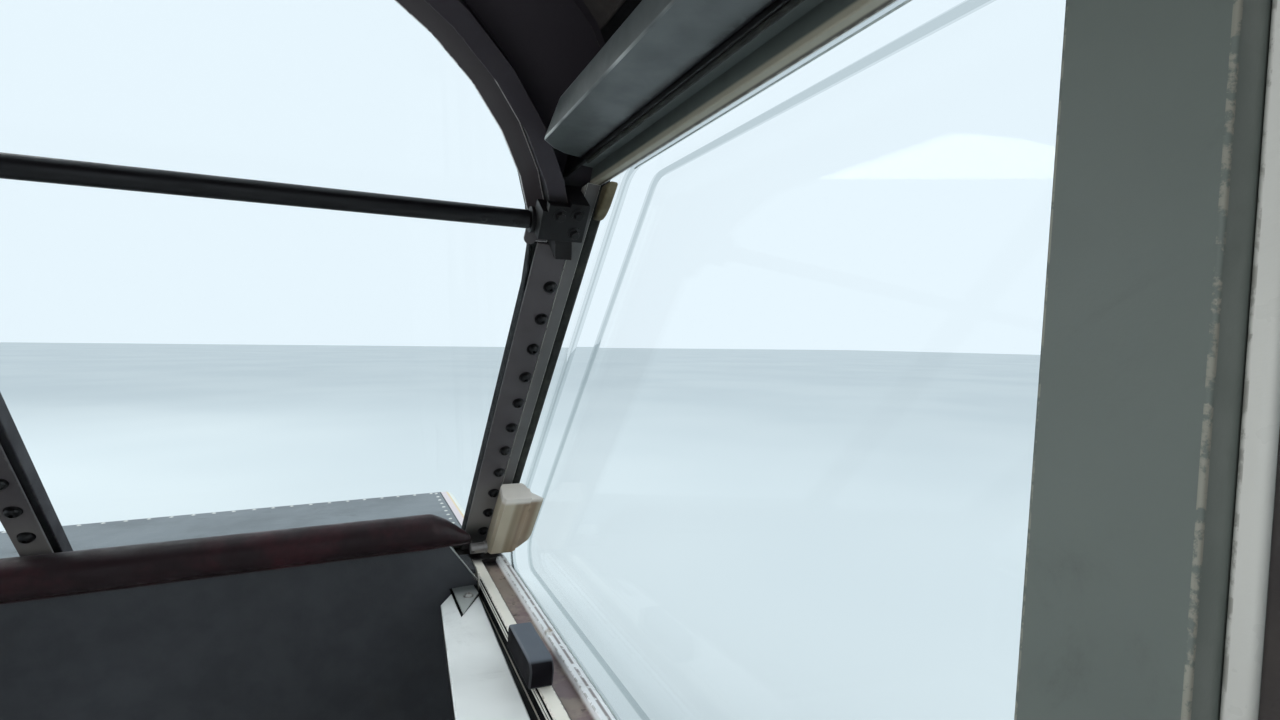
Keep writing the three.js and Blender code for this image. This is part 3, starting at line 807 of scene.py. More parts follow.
class Skin:
    """The outer surface of a node, for setting fasteners on."""

    def __init__(self, *nodes: str) -> None:
        """Takes the surface of some nodes."""
        copy = Workpiece.of_node(*nodes)
        self.tree = BVHTree.FromBMesh(copy.bm)
        copy.bm.free()

    def seats(self, rays: Iterable[tuple[Vector, Vector]], pitch: float) -> Iterator[Matrix]:
        """Frames at even distances along the line where rays meet the surface.

        Args:
            rays: Starting points and directions, close together along the line.
            pitch: The distance between frames.

        Yields:
            Frames on the surface, their z axes pointing out of it.
        """
        travelled = pitch
        last = None
        for origin, direction in rays:
            point, normal, _, _ = self.tree.ray_cast(origin, direction)
            if point is None:
                last = None
                continue
            travelled += (point - last).length if last else 0.0
            last = point
            if travelled >= pitch:
                travelled = 0.0
                turn = normal.to_track_quat("Z", "Y").to_matrix().to_4x4()
                yield Matrix.Translation(point) @ turn


def line_rays(start: Sequence[float], end: Sequence[float],
              direction: Sequence[float], gap: float = 2 * MM) -> Iterator[tuple[Vector, Vector]]:
    """Rays side by side from a straight line.

    Args:
        start: One end of the line.
        end: The other end.
        direction: Where the rays go.
        gap: The distance between rays.

    Yields:
        Starting points and directions.
    """
    first, last = Vector(start), Vector(end)
    count = max(1, round((last - first).length / gap))
    for index in range(count + 1):
        yield first.lerp(last, index / count), Vector(direction)


def fan_rays(centre: Sequence[float], low: float, high: float,
             count: int = 900) -> Iterator[tuple[Vector, Vector]]:
    """Rays from outside towards a centre, fanned in the plane across the hull.

    Args:
        centre: The point that the rays aim at.
        low: The first ray's angle from the vertical in degrees, towards port.
        high: The last ray's angle.
        count: The number of rays.

    Yields:
        Starting points and directions.
    """
    aim = Vector(centre)
    for index in range(count + 1):
        turn = math.radians(low + (high - low) * index / count)
        out = Vector((math.sin(turn), 0, math.cos(turn)))
        yield aim + OUTSIDE * out, -out


@dataclass(frozen=True)
class Rivet:
    """A domed rivet head."""

    radius: float = 4.2 * MM
    height: float = 1.7 * MM

    def set_at(self, piece: Workpiece, seat: Matrix) -> None:
        """Sets one head on a seat."""
        piece.cone(self.radius, 0.82 * self.radius, 0.6 * self.height,
                   seat @ Matrix.Translation((0, 0, -0.1 * self.height)), 10)
        piece.cone(0.82 * self.radius, 0.36 * self.radius, 0.55 * self.height,
                   seat @ Matrix.Translation((0, 0, 0.45 * self.height)), 10)


@dataclass(frozen=True)
class Screw:
    """A round-headed screw with a socket, on a washer."""

    radius: float = 6 * MM
    height: float = 4.2 * MM
    washer: float = 8 * MM

    def set_at(self, piece: Workpiece, seat: Matrix) -> None:
        """Sets one screw on a seat."""
        lift = 0.9 * MM
        if self.washer:
            piece.turned([
                (0, -0.4 * MM), (self.washer, -0.4 * MM), (self.washer, 0.6 * lift),
                (self.washer - 0.5 * MM, lift), (0, lift)], seat, 20)
        top = lift + self.height
        piece.turned([
            (0, 0.5 * lift), (self.radius, 0.5 * lift), (self.radius, lift + 0.25 * self.height),
            (0.9 * self.radius, lift + 0.6 * self.height),
            (0.68 * self.radius, lift + 0.88 * self.height), (0.42 * self.radius, top),
            (0.30 * self.radius, top), (0.26 * self.radius, top - 0.45 * self.height),
            (0, top - 0.45 * self.height)], seat, 20)


@dataclass(frozen=True)
class HexBolt:
    """A hexagon bolt head on a washer."""

    flats: float = 10 * MM
    height: float = 5 * MM
    washer: float = 9 * MM

    def set_at(self, piece: Workpiece, seat: Matrix) -> None:
        """Sets one bolt on a seat."""
        lift = 1.4 * MM if self.washer else 0.0
        if self.washer:
            piece.turned([
                (0, -0.3 * MM), (self.washer, -0.3 * MM), (self.washer, lift - 0.4 * MM),
                (self.washer - 0.5 * MM, lift), (0, lift)], seat, 20)
        across = self.flats / math.sqrt(3)
        piece.cone(across, across, self.height, seat @ Matrix.Translation((0, 0, lift - 0.2 * MM)), 6)
        piece.cone(0.92 * across, 0.72 * across, 0.8 * MM,
                   seat @ Matrix.Translation((0, 0, lift + self.height - 0.3 * MM)), 12)


Fastener = Rivet | Screw | HexBolt


def fastened(name: str, material: bpy.types.Material, slot: Slot,
             rows: Iterable[tuple[Fastener, Iterable[Matrix]]],
             body: Body = Body.SECTION) -> bpy.types.Object:
    """Makes one piece of many fasteners.

    Args:
        name: The piece's name.
        material: Its finish.
        slot: The record's slot that its finish stands for.
        rows: Kinds of fastener with their seats.
        body: The body that it moves with.

    Returns:
        The finished object.
    """
    piece = Workpiece()
    for kind, seats in rows:
        for seat in seats:
            kind.set_at(piece, seat)
    return piece.finish(name, material, body, slot, angle=40)


def dressed(node: str, material: bpy.types.Material, slot: Slot, width: float,
            segments: int = 2) -> bpy.types.Object:
    """Dresses a copy of a node of the fixed section, its edges rounded.

    Args:
        node: The node, which the copy stands for.
        material: Its finish.
        slot: The record's slot that its finish stands for.
        width: The width of the rounding.
        segments: The number of faces across it.

    Returns:
        The finished object.
    """
    piece = Workpiece.of_node(node).soften(width, segments)
    return piece.finish(node + "_dressed", material, slot=slot, replaces=[node])


class Finishes:
    """All finishes of the section, made once."""

    WHITE = tone(222, 222, 216)
    CREAM = tone(240, 235, 224)

    def __init__(self) -> None:
        """Makes the shared finishes."""
        self.hull = Paint(
            "white_hull_paint", self.WHITE, bare=tone(150, 146, 138), roughness=0.32,
            coat=0.25, edge_wear=0.45, chips=0.80, dirt=0.14).make()
        self.frame = Paint(
            "primer_green_frame", tone(128, 136, 122), bare=tone(165, 165, 160),
            edge_wear=0.6, chips=0.74, dirt=0.35, roughness=0.55).make()
        # Painted shade: the bow is near black from 0.60 to 0.715 m up the windshield, beside the tube
        # brackets, where shade falls.
        self.dark = Paint(
            "dark_bow_paint", tone(52, 48, 53), bare=tone(112, 104, 98), edge_wear=0.3,
            chips=0.80, dirt=0.25, roughness=0.6, bare_metal=0.3, shine=0.28, bands=(
                Band(Datum.GLAZING, Axis.Y, 0.600, 0.715, tone(16, 13, 13), soft=8 * MM),)).make()
        self.black = Paint(
            "black_fitting_paint", tone(11, 9, 10), bare=tone(62, 56, 52), edge_wear=0.3,
            chips=0.80, dirt=0.2, grime=tone(30, 25, 22), roughness=0.5, bare_metal=0.3,
            shine=0.3).make()
        brown = tone(66, 61, 63)
        # Painted light: the strips are lighter low down, where more light falls from the side window;
        # the foot band brings their lowest part back to the strip's own colour.
        painted_light_low = Band(Datum.GLAZING, Axis.Y, -0.10, 0.17, tone(126, 123, 120), soft=90 * MM)
        foot = Band(Datum.GLAZING, Axis.Y, -0.10, 0.070, tone(66, 64, 64), soft=25 * MM)
        self.strip = Paint(
            "brown_strip_paint", brown, bare=tone(118, 112, 108), edge_wear=0.35,
            chips=0.80, dirt=0.25, roughness=0.46, bands=(painted_light_low, foot)).make()
        self.arch_strip = Paint(
            "worn_arch_strip_paint", brown, bare=tone(232, 230, 228), edge_wear=0.8,
            chips=0.80, dirt=0.25, roughness=0.42, polish=0.6).make()
        # Painted shade: the sill bar is dark inboard of 12.6 mm outside the windshield's plane, where
        # shade falls.
        self.sill_bar = Paint(
            "white_sill_bar_paint", self.WHITE, bare=tone(150, 146, 138), roughness=0.35,
            edge_wear=0.4, chips=0.80, dirt=0.2, bands=(
                Band(Datum.GLAZING, Axis.Z, -0.30, 0.0126, tone(34, 30, 29)),)).make()
        self.tube = Paint(
            "black_tube_enamel", tone(13, 12, 15), bare=tone(84, 80, 78), edge_wear=0.4,
            chips=0.79, dirt=0.1, roughness=0.36, shine=0.35).make()
        self.panel = Paint(
            "crackle_panel_paint", tone(50, 52, 56), bare=tone(140, 138, 134), edge_wear=0.5,
            chips=0.78, dirt=0.3, roughness=0.62, grain=300.0, relief=0.4 * MM).make()
        # Painted shade: the ceiling lining is near black outboard of the welts, in the gap above the
        # header boxes.
        self.lining = Hide(
            "ceiling_leathercloth", tone(60, 56, 55), tone(72, 66, 62), 0.75, bands=(
                Band(Datum.PART, Axis.X, 0.5925, 0.70, tone(12, 11, 12), centred=True),)).make()
        self.padding = Hide(
            "roll_leathercloth", tone(24, 8, 12), tone(54, 20, 26), 0.5, 520.0, 1.6 * MM).make()
        self.rubber = Rubber("seal_rubber", tone(24, 25, 23), tone(44, 45, 38)).make()
        self.old_rubber = Rubber("corner_rubber", tone(84, 78, 60), tone(112, 104, 82)).make()
        self.sealant = Rubber("black_sealant", tone(12, 12, 13), tone(24, 24, 24), 0.1).make()
        self.black_screws = Paint(
            "black_screw_oxide", tone(12, 11, 12), bare=tone(84, 76, 70), edge_wear=0.3,
            chips=0.80, dirt=0.15, grime=tone(30, 25, 22), roughness=0.34, shine=0.3).make()
        self.bright_bolts = Metal(
            "bright_bolt_steel", tone(176, 172, 168), tone(96, 82, 70), 0.3, 0.35).make()
        self.pins = Metal(
            "dull_pin_steel", tone(128, 124, 122), tone(70, 62, 56), 0.32, 0.4).make()
        self.rail = Metal(
            "anodised_rail", tone(164, 168, 166), tone(104, 104, 96), 0.34, 0.4).make()
        self.acrylic = Acrylic("clear_acrylic").make()
        self.cut_acrylic = Paint(
            "sanded_acrylic_edge", tone(214, 222, 220), edge_wear=0.0, chips=0.9, dirt=0.15,
            roughness=0.6).make()
        self.aft_post = Paint(
            "green_post_paint", tone(100, 107, 102), bare=tone(168, 164, 150), edge_wear=0.6,
            chips=0.76, dirt=0.35, roughness=0.5).make()
        self.beads = Paint(
            "pale_bead_paint", tone(226, 224, 216), edge_wear=0.1, chips=0.82, dirt=0.15,
            roughness=0.4).make()
        # Painted shade: the placard box is near black from 0.20 to 0.2875 m high, on its ledge and
        # below it.
        self.trim = Paint(
            "white_trim_moulding", tone(238, 240, 238), bare=tone(120, 118, 112),
            bare_metal=0.0, edge_wear=0.2, chips=0.82, dirt=0.2, roughness=0.46, bands=(
                Band(Datum.PART, Axis.Z, 0.20, 0.2875, tone(20, 20, 20), soft=0.5 * MM),)).make()
        self.plate = Paint(
            "grey_corner_plate", tone(172, 175, 172), bare=tone(170, 170, 168),
            edge_wear=0.5, chips=0.8, dirt=0.4, roughness=0.5, bands=(
                Band(Datum.PART, Axis.Y, -0.40, -0.302, tone(92, 96, 96), soft=14 * MM),)).make()
        self.deck = self.deck_paint().make()

    @staticmethod
    def deck_paint() -> Paint:
        """Grey non-skid paint with the bands along the gunwale."""
        def stripe(low: float, high: float, colour: Colour, broken: float = 0.0) -> Band:
            """One band at a distance from the middle of the deck."""
            return Band(
                Datum.PART, Axis.X, low, high, colour, soft=0.8 * MM, broken=broken,
                grain=40, centred=True)
        return Paint(
            "non_skid_deck_paint", tone(126, 132, 136), bare=tone(160, 160, 156), chips=0.72,
            edge_wear=0.4, dirt=0.35, roughness=0.8, grain=420.0, relief=0.7 * MM,
            bands=(
                stripe(0.5725, 0.5755, tone(70, 74, 76)),
                stripe(0.5755, 0.700, tone(214, 204, 206)),
                stripe(0.5885, 0.594, tone(224, 204, 170), 0.35),
                stripe(0.594, 0.700, tone(228, 230, 224)),
            ))

    def green(self, side: Side) -> bpy.types.Material:
        """The header rail's grey-green paint with its beige outer lip, and a painted shadow line
        along its inboard edge.
        """
        return Paint(
            f"green_header_{side.tag}", tone(88, 95, 92), bare=tone(168, 164, 150),
            edge_wear=0.5, chips=0.78, dirt=0.35, roughness=0.5,
            bands=(
                Band(Datum.WALL, Axis.Z, 0.5600, 0.5752, tone(156, 152, 136), soft=1.4 * MM),
                Band(Datum.WALL, Axis.X, -0.0460, -0.0125, tone(100, 107, 105), soft=0.6 * MM),
                # Painted shadow: a near-black line on the rail's inboard edge, under the gap beside
                # the header box.
                Band(Datum.WALL, Axis.X, -0.0460, -0.0375, tone(9, 8, 8), soft=0.5 * MM),
                Band(Datum.WALL, Axis.X, -0.0035, 0.0015, tone(66, 58, 46), soft=1.4 * MM),
                Band(Datum.WALL, Axis.X, 0.0035, 0.016, tone(214, 216, 216), soft=2 * MM),
            )).make(side)

    def box(self, side: Side) -> bpy.types.Material:
        """The header box's grey-green paint, bright on its lower edge from wear and a painted
        highlight, with a painted shadow line along its outboard edge.
        """
        return Paint(
            f"green_box_{side.tag}", tone(75, 80, 80), bare=tone(206, 210, 208),
            # Wear and painted highlight: polish turns the softened lower edges near white.
            edge_wear=0.0, chips=0.79, dirt=0.3, roughness=0.42, bare_metal=0.2, polish=0.9,
            bands=(
                Band(Datum.WALL, Axis.X, -0.0955, -0.080, tone(85, 90, 89), soft=5 * MM,
                     cover=0.5),
                Band(Datum.WALL, Axis.X, -0.0530, -0.0440, tone(52, 54, 52), soft=3 * MM,
                     broken=0.46, grain=40),
                # Painted shadow: a near-black line along the box's outboard edge, over the gap above
                # the rail.
                Band(Datum.WALL, Axis.X, -0.0490, -0.0440, tone(9, 8, 8), soft=0.7 * MM),
            )).make(side)

    def sill(self, side: Side) -> bpy.types.Material:
        """Cream inner lip, brown dirty channel and chipped white outer lip, with a painted shadow
        line along the inner lip and painted shade at the front end.
        """
        brown = tone(150, 136, 126)
        return Paint(
            f"cream_sill_{side.tag}", self.CREAM, bare=tone(110, 102, 92), grime=tone(70, 58, 48),
            bare_metal=0.1, edge_wear=0.5, chips=0.70, dirt=0.4, roughness=0.5,
            bands=(
                Band(Datum.WALL, Axis.X, -0.0275, -0.0015, brown, soft=2 * MM),
                Band(Datum.WALL, Axis.X, -0.0275, -0.0015, tone(128, 108, 110), soft=3 * MM,
                     broken=0.5, grain=16),
                # Painted shadow: a dark line where the cream inner lip meets the channel.
                Band(Datum.WALL, Axis.X, -0.0285, -0.0235, tone(58, 52, 46), soft=1.5 * MM,
                     cover=0.9),
                Band(Datum.WALL, Axis.X, -0.0275, -0.0015, tone(66, 56, 48), soft=2 * MM,
                     broken=0.64, grain=48),
                # Painted shade: the sill is near black at its front end, in the recess at the
                # windshield's foot.
                Band(Datum.WALL, Axis.Y, -0.75, -0.585, tone(12, 10, 11), soft=20 * MM),
                Band(Datum.WALL, Axis.X, -0.0015, 0.020, tone(240, 242, 244), soft=0.6 * MM),
                Band(Datum.WALL, Axis.X, 0.0066, 0.0100, tone(120, 110, 108), soft=1 * MM,
                     cover=0.85, broken=0.40, grain=70),
                Band(Datum.WALL, Axis.X, -0.0015, 0.020, tone(150, 132, 112), soft=2 * MM,
                     broken=0.64, grain=24),
            )).make(side)

    def jamb(self, side: Side) -> bpy.types.Material:
        """Grey angle with a bright worn outer edge and dark spots."""
        return Paint(
            f"grey_jamb_{side.tag}", tone(86, 85, 84), bare=tone(188, 186, 180),
            grime=tone(56, 48, 42), edge_wear=0.9, chips=0.8, dirt=0.6, roughness=0.42,
            bands=(
                Band(Datum.POST, Axis.X, -0.017, -0.012, tone(84, 82, 80), soft=1.5 * MM),
            )).make(side)

    def handle(self, side: Side) -> bpy.types.Material:
        """Beige moulding with the brown streaks that hands have worn into it, and a painted highlight
        that makes its top lighter.
        """
        return Paint(
            f"beige_grip_{side.tag}", tone(178, 167, 146), bare=tone(226, 220, 208),
            grime=tone(140, 122, 96), bare_metal=0.0, edge_wear=0.25, chips=0.85, dirt=0.35,
            roughness=0.36, grain=260.0, polish=0.35,
            bands=(
                Band(Datum.POST, Axis.X, 0.001, 0.012, tone(120, 101, 73), soft=4 * MM,
                     cover=0.75),
                Band(Datum.POST, Axis.X, 0.012, 0.040, tone(124, 101, 75), soft=5 * MM,
                     cover=0.9),
                Band(Datum.POST, Axis.X, 0.019, 0.030, tone(158, 136, 112), soft=3 * MM,
                     cover=0.7, broken=0.45, grain=20),
                # Painted highlight: the grip is lighter at its top, 0.18 to 0.20 m up the post.
                Band(Datum.POST, Axis.Y, 0.180, 0.200, tone(224, 218, 210), soft=5 * MM,
                     cover=0.9),
            )).make(side)

    def moulded_latch(self, side: Side) -> bpy.types.Material:
        """Black moulding, its top face grey with a painted reflection."""
        return Paint(
            f"black_latch_{side.tag}", tone(12, 9, 14), bare=tone(128, 130, 134),
            bare_metal=0.0, edge_wear=0.2, chips=0.86, dirt=0.15, roughness=0.72,
            grain=900.0, polish=0.3, shine=0.12, bands=(
                # Painted reflection: the top face, above 27.5 mm, is grey.
                Band(Datum.WALL, Axis.Z, 0.0275, 0.040, tone(96, 102, 110), soft=1.5 * MM),
            )).make(side)


@dataclass
class Hull:
    """The lower hull: base, end frames, side panels, deck and roof."""

    finishes: Finishes
    edge: float = 1.6 * MM
    rivet: Rivet = field(default_factory=Rivet)
    pitch: float = 38 * MM
    bolt_pitch: float = 118 * MM
    lining_t: float = 3 * MM

    def build(self) -> None:
        """Builds and dresses the hull's pieces."""
        self.frames()
        self.deck()
        self.side_panels()
        self.roof()
        self.doorway_trim()

    def frames(self) -> None:
        """The base and the two end frames, with their bolts."""
        for node in ("base_frame", "fore_frame", "aft_frame"):
            dressed(node, self.finishes.frame, Slot.FRAME, self.edge)
        low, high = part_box("fore_frame")
        fore = Skin("fore_frame")
        ahead = low.y - 0.1
        rows = [
            (self.rivet, fore.seats(
                line_rays((low.x + 0.03, ahead, z), (high.x - 0.03, ahead, z), (0, 1, 0)),
                self.pitch))
            for z in (low.z + 0.018, high.z - 0.018)]
        fastened("fore_frame_rivets", self.finishes.frame, Slot.FRAME, rows)
        low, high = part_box("aft_frame")
        aft = Skin("aft_frame")
        behind = high.y + 0.1
        border = [
            (self.bolt_pitch / 2, 1.046), (0.300, 1.036), (0.410, 1.022), (0.515, 0.972),
            (0.562, 0.875), (0.555, 0.780), (0.513, 0.120)]
        rows = []
        for side in Side:
            path = [(side.value * x, behind, z) for x, z in border]
            rays = [ray for start, end in zip(path, path[1:])
                    for ray in line_rays(start, end, (0, -1, 0))]
            rows.append((HexBolt(), aft.seats(rays, self.bolt_pitch)))
        fastened("aft_frame_bolts", self.finishes.bright_bolts, Slot.RAIL, rows)

    def deck(self) -> None:
        """The foredeck and its edge screws."""
        dressed("foredeck", self.finishes.deck, Slot.DECK, 2.5 * MM, 3)
        low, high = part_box("foredeck")
        skin = Skin("foredeck")
        above = high.z + 0.1
        across, inset, margin = 0.562, 20 * MM, 14 * MM
        rows = [
            (self.rivet, skin.seats(
                line_rays((x, low.y + inset, above), (x, high.y - inset, above), (0, 0, -1)),
                self.pitch))
            for x in (-across, across)]
        rows += [(self.rivet, skin.seats(
            line_rays((-0.55, y, above), (0.55, y, above), (0, 0, -1)), self.pitch))
            for y in (high.y - margin, low.y + margin)]
        fastened("foredeck_rivets", self.finishes.hull, Slot.HULL, rows)

    def side_panels(self) -> None:
        """The lower and aft side panels, their rivets and the cabin's side lining."""
        for side in Side:
            for stem in ("lower_side_panel", "aft_side_panel"):
                dressed(side.named(stem), self.finishes.hull, Slot.HULL, self.edge)
            self.panel_rivets(side)
            self.side_lining(side)

    def panel_rivets(self, side: Side) -> None:
        """Rows along the panels' edges and at the frames inside them."""
        inset = 20 * MM
        rows = []

        def row(skin: Skin, start: Sequence[float], end: Sequence[float]) -> None:
            """Sets a row between two places, each a distance aft and a height."""
            ends = [(side.value * OUTSIDE, *place) for place in (start, end)]
            rows.append((self.rivet, skin.seats(
                line_rays(*ends, (-side.value, 0, 0)), self.pitch)))
        node = side.named("lower_side_panel")
        low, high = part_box(node)
        skin = Skin(node)
        for z in (low.z + 14 * MM, 0.5 * (low.z + high.z), high.z - 14 * MM):
            row(skin, (low.y + inset, z), (high.y - inset, z))
        for y in (-0.72, -0.42, -0.10, 0.22, 0.54, 0.80):
            row(skin, (y, low.z + 40 * MM), (y, high.z - 30 * MM))
        node = side.named("aft_side_panel")
        low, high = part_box(node)
        skin = Skin(node)
        for z in (low.z + 16 * MM, high.z - inset):
            row(skin, (low.y + inset, z), (high.y - inset, z))
        for y in (low.y + inset, high.y - inset):
            row(skin, (y, low.z + 50 * MM), (y, high.z - 50 * MM))
        fastened(side.named("side_rivets"), self.finishes.hull, Slot.HULL, rows)

    def side_lining(self, side: Side) -> None:
        """Leathercloth on the inner faces below the sill and aft of the window."""
        piece = Workpiece()
        wall = side.matrix @ LAYOUT.wall
        inner = -0.030 - 0.4 * MM
        piece.box((inner - self.lining_t, -0.515, -0.250), (inner, 0.742, -0.050), wall)
        piece.box((inner - self.lining_t, 0.384, 0.006), (inner, 0.742, 0.560), wall)
        piece.recalculated().soften(1.4 * MM)
        piece.finish(side.named("side_lining"), self.finishes.lining, slot=Slot.LINING)

    def roof(self) -> None:
        """The roof skin with its rivets, and the lining under it."""
        axis_z = 0.6

        def inner(face: bmesh.types.BMFace) -> bool:
            """Whether a face looks into the cabin."""
            middle = face.calc_center_median()
            return face.normal.dot(Vector((middle.x, 0, middle.z - axis_z))) < 0
        piece = Workpiece.of_node("roof_skin").soften(self.edge)
        piece.second_finish(inner, self.finishes.dark)
        piece.finish("roof_skin_dressed", self.finishes.hull, slot=Slot.HULL,
                     replaces=["roof_skin"], angle=25)
        piece = Workpiece.of_node("ceiling_panel")
        piece.finish("ceiling_lining", self.finishes.lining, slot=Slot.LINING,
                     replaces=["ceiling_panel"], angle=25)
        low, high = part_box("roof_skin")
        skin = Skin("roof_skin")
        rows = [(self.rivet, skin.seats(fan_rays((0, y, 0.55), -66, 66), self.pitch))
                for y in (high.y - 0.018, 0.5 * (high.y + 0.05), 0.06)]
        for side in Side:
            far = side.value * OUTSIDE
            rows.append((self.rivet, skin.seats(
                line_rays((far, 0.03, low.z + 0.020), (far, high.y - 0.03, low.z + 0.020),
                          (-side.value, 0, 0)), self.pitch)))
        fastened("roof_rivets", self.finishes.hull, Slot.HULL, rows)
        for side in Side:
            across, height = side.value * 0.592, 0.9975
            path = [Vector((across, y, height)) for y in (0.104, 0.5, 0.965)]
            welt = Workpiece()
            welt.swept(stations_along(path), [2 * MM] * len(path), 10)
            welt.finish(side.named("ceiling_welt"), self.finishes.lining, slot=Slot.LINING)

    def doorway_trim(self) -> None:
        """Rubber channel round the doorway in the aft frame."""
        low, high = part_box("aft_frame")
        half, sill, top = 0.430, 0.095, 0.985
        corners = [
            (half, sill), (half, top - 0.130), (half - 0.040, top - 0.050),
            (half - 0.130, top), (-half + 0.130, top), (-half + 0.040, top - 0.050),
            (-half, top - 0.130), (-half, sill)]
        piece = Workpiece()
        for y in (low.y, high.y):
            path = [Vector((x, y, z)) for x, z in corners]
            piece.swept(stations_along(path, True), [5 * MM] * len(path), 10, True)
        piece.finish("doorway_rubber", self.finishes.rubber, slot=Slot.RUBBER)


@dataclass
class Windshield:
    """Bow, strips, panes and posts in the windshield's raked plane."""

    finishes: Finishes
    screw: Screw = field(default_factory=lambda: Screw(7.8 * MM, 7 * MM, 9 * MM))
    pitch: float = 51 * MM
    first: float = 62 * MM
    strip_t: float = 4 * MM
    strip_end: float = 636 * MM

    def build(self) -> None:
        """Builds and dresses the windshield's pieces."""
        softened = {
            "windshield_sill": (self.finishes.sill_bar, Slot.HULL, 2 * MM),
            "windshield_bow": (self.finishes.dark, Slot.DARK, 1.4 * MM),
            "centre_post": (self.finishes.dark, Slot.DARK, 1.5 * MM),
            "arch_strip": (self.finishes.arch_strip, Slot.STRIP, 1.1 * MM),
        }
        for node, (material, slot, width) in softened.items():
            piece = Workpiece.of_node(node).soften(width)
            if node == "windshield_bow":
                piece.unworn(self.rim).second_finish(self.rim, self.finishes.sealant)
            piece.finish(node + "_dressed", material, slot=slot, replaces=[node])
        self.strips()
        self.strip_tails()
        self.panes()
        self.outer_bead()
        self.bow_screws()

    @staticmethod
    def rim(face: bmesh.types.BMFace) -> bool:
        """Whether a face of the bow looks across the opening."""
        inverse = LAYOUT.glazing.inverted()
        middle = inverse @ face.calc_center_median()
        normal = inverse.to_3x3() @ face.normal
        across = normal.x if middle.x < 0 else -normal.x
        return middle.z > 12 * MM and abs(normal.z) < 0.8 and max(across, -normal.y) > 0.3

    def strip(self, name: str, low: Sequence[float], high: Sequence[float], place: Matrix,
              heads: Sequence[Matrix], node: str) -> None:
        """A flat strip with rounded edges, and its row of screws.

        Args:
            name: The strip's name.
            low: Its lowest corner.
            high: Its highest corner.
            place: The frame that it lies in.
            heads: The seats of its screws.
            node: The node that it stands for.
        """
        piece = Workpiece()
        piece.box(low, high, place)
        piece.recalculated().soften(1.1 * MM, 3)
        piece.finish(name, self.finishes.strip, slot=Slot.STRIP, replaces=[node])
        fastened(name + "_screws", self.finishes.black_screws, Slot.STRIP,
                 [(self.screw, heads)])

    def strips(self) -> None:
        """The two post strips and the centre strip with their screws."""
        half = 16 * MM
        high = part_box("centre_strip")[1]
        crown = (high.z - LAYOUT.sill_z) / math.cos(LAYOUT.rake)
        inward = Matrix.Rotation(math.pi, 4, "X")
        places = []
        reach = self.first
        while reach < crown - 25 * MM:
            places.append(reach)
            reach += self.pitch
        glazing = LAYOUT.glazing
        self.strip(
            "centre_strip_dressed", (-half, 8 * MM, 0), (half, crown - 4 * MM, self.strip_t),
            glazing, [glazing @ Matrix.Translation((0, s, 0)) @ inward for s in places],
            "centre_strip")
        near = LAYOUT.open_x - LAYOUT.lip_x
        far = LAYOUT.post_corner - 0.3 * MM
        top = self.strip_end - 4 * MM
        for side in Side:
            post = side.matrix @ LAYOUT.post
            middle = (near + far) / 2 + 10 * MM
            heads = [
                post @ Matrix.Translation((middle, s, 0)) @ inward
                for s in places if s < top - 8 * MM]
            self.strip(
                side.named("post_strip") + "_dressed", (near, 8 * MM, 0), (far, top, self.strip_t),
                post, heads, side.named("post_strip"))

    def strip_tails(self) -> None:
        """The rounded ends of the arch strip, lapped over the post strips."""
        near = LAYOUT.open_x - LAYOUT.lip_x - 19 * MM
        radius = 7.5 * MM
        top, low = 676 * MM, 631 * MM
        outline = [(near, top), (near, low + radius)]
        steps = 8
        for index in range(1, steps):
            turn = math.pi * (1 + index / steps)
            outline.append((
                near + radius + radius * math.cos(turn), low + radius + radius * math.sin(turn)))
        outline += [(near + 2 * radius, low + radius), (near + 2 * radius, top)]
        for side in Side:
            piece = Workpiece()
            piece.run(outline, Axis.Z, -4.2 * MM, -0.2 * MM, side.matrix @ LAYOUT.post)
            piece.recalculated().soften(0.9 * MM, 2)
            piece.finish(side.named("arch_strip_end"), self.finishes.strip, slot=Slot.STRIP)

    def panes(self) -> None:
        """The two acrylic panes."""
        for side in Side:
            node = side.named("windshield_pane")
            piece = Workpiece.of_node(node).soften(0.8 * MM, 2)
            piece.finish(node + "_clear", self.finishes.acrylic, slot=Slot.ACRYLIC,
                         replaces=[node])

    def outer_bead(self) -> None:
        """Sealant where the panes meet the bow outside."""
        depth = 13.6 * MM
        path = [LAYOUT.glazing @ (p + Vector((0, 0, depth)))
                for p in LAYOUT.whole_arch(2.5 * MM) if p.y > 24 * MM]
        piece = Workpiece()
        piece.swept(stations_along(path), [2.4 * MM] * len(path), 8)
        piece.finish("windshield_sealant", self.finishes.sealant, slot=Slot.RUBBER)

    def bow_screws(self) -> None:
        """Screws round the outer face of the bow."""
        skin = Skin("windshield_bow")
        outside = 0.2
        glazing = LAYOUT.glazing
        inward = glazing.to_3x3() @ Vector((0, 0, -1))
        rays = []
        margin = 30 * MM
        points = [p for p in LAYOUT.whole_arch(margin) if p.y > 0.40]
        for first, second in zip(points, points[1:]):
            count = max(1, round((second - first).length / (2 * MM)))
            for index in range(count):
                at = first.lerp(second, index / count) + Vector((0, 0, outside))
                rays.append((glazing @ at, inward))
        rows = [(Screw(4.2 * MM, 2.0 * MM, 0), skin.seats(rays, self.pitch))]
        fastened("bow_screws", self.finishes.black_screws, Slot.DARK, rows)


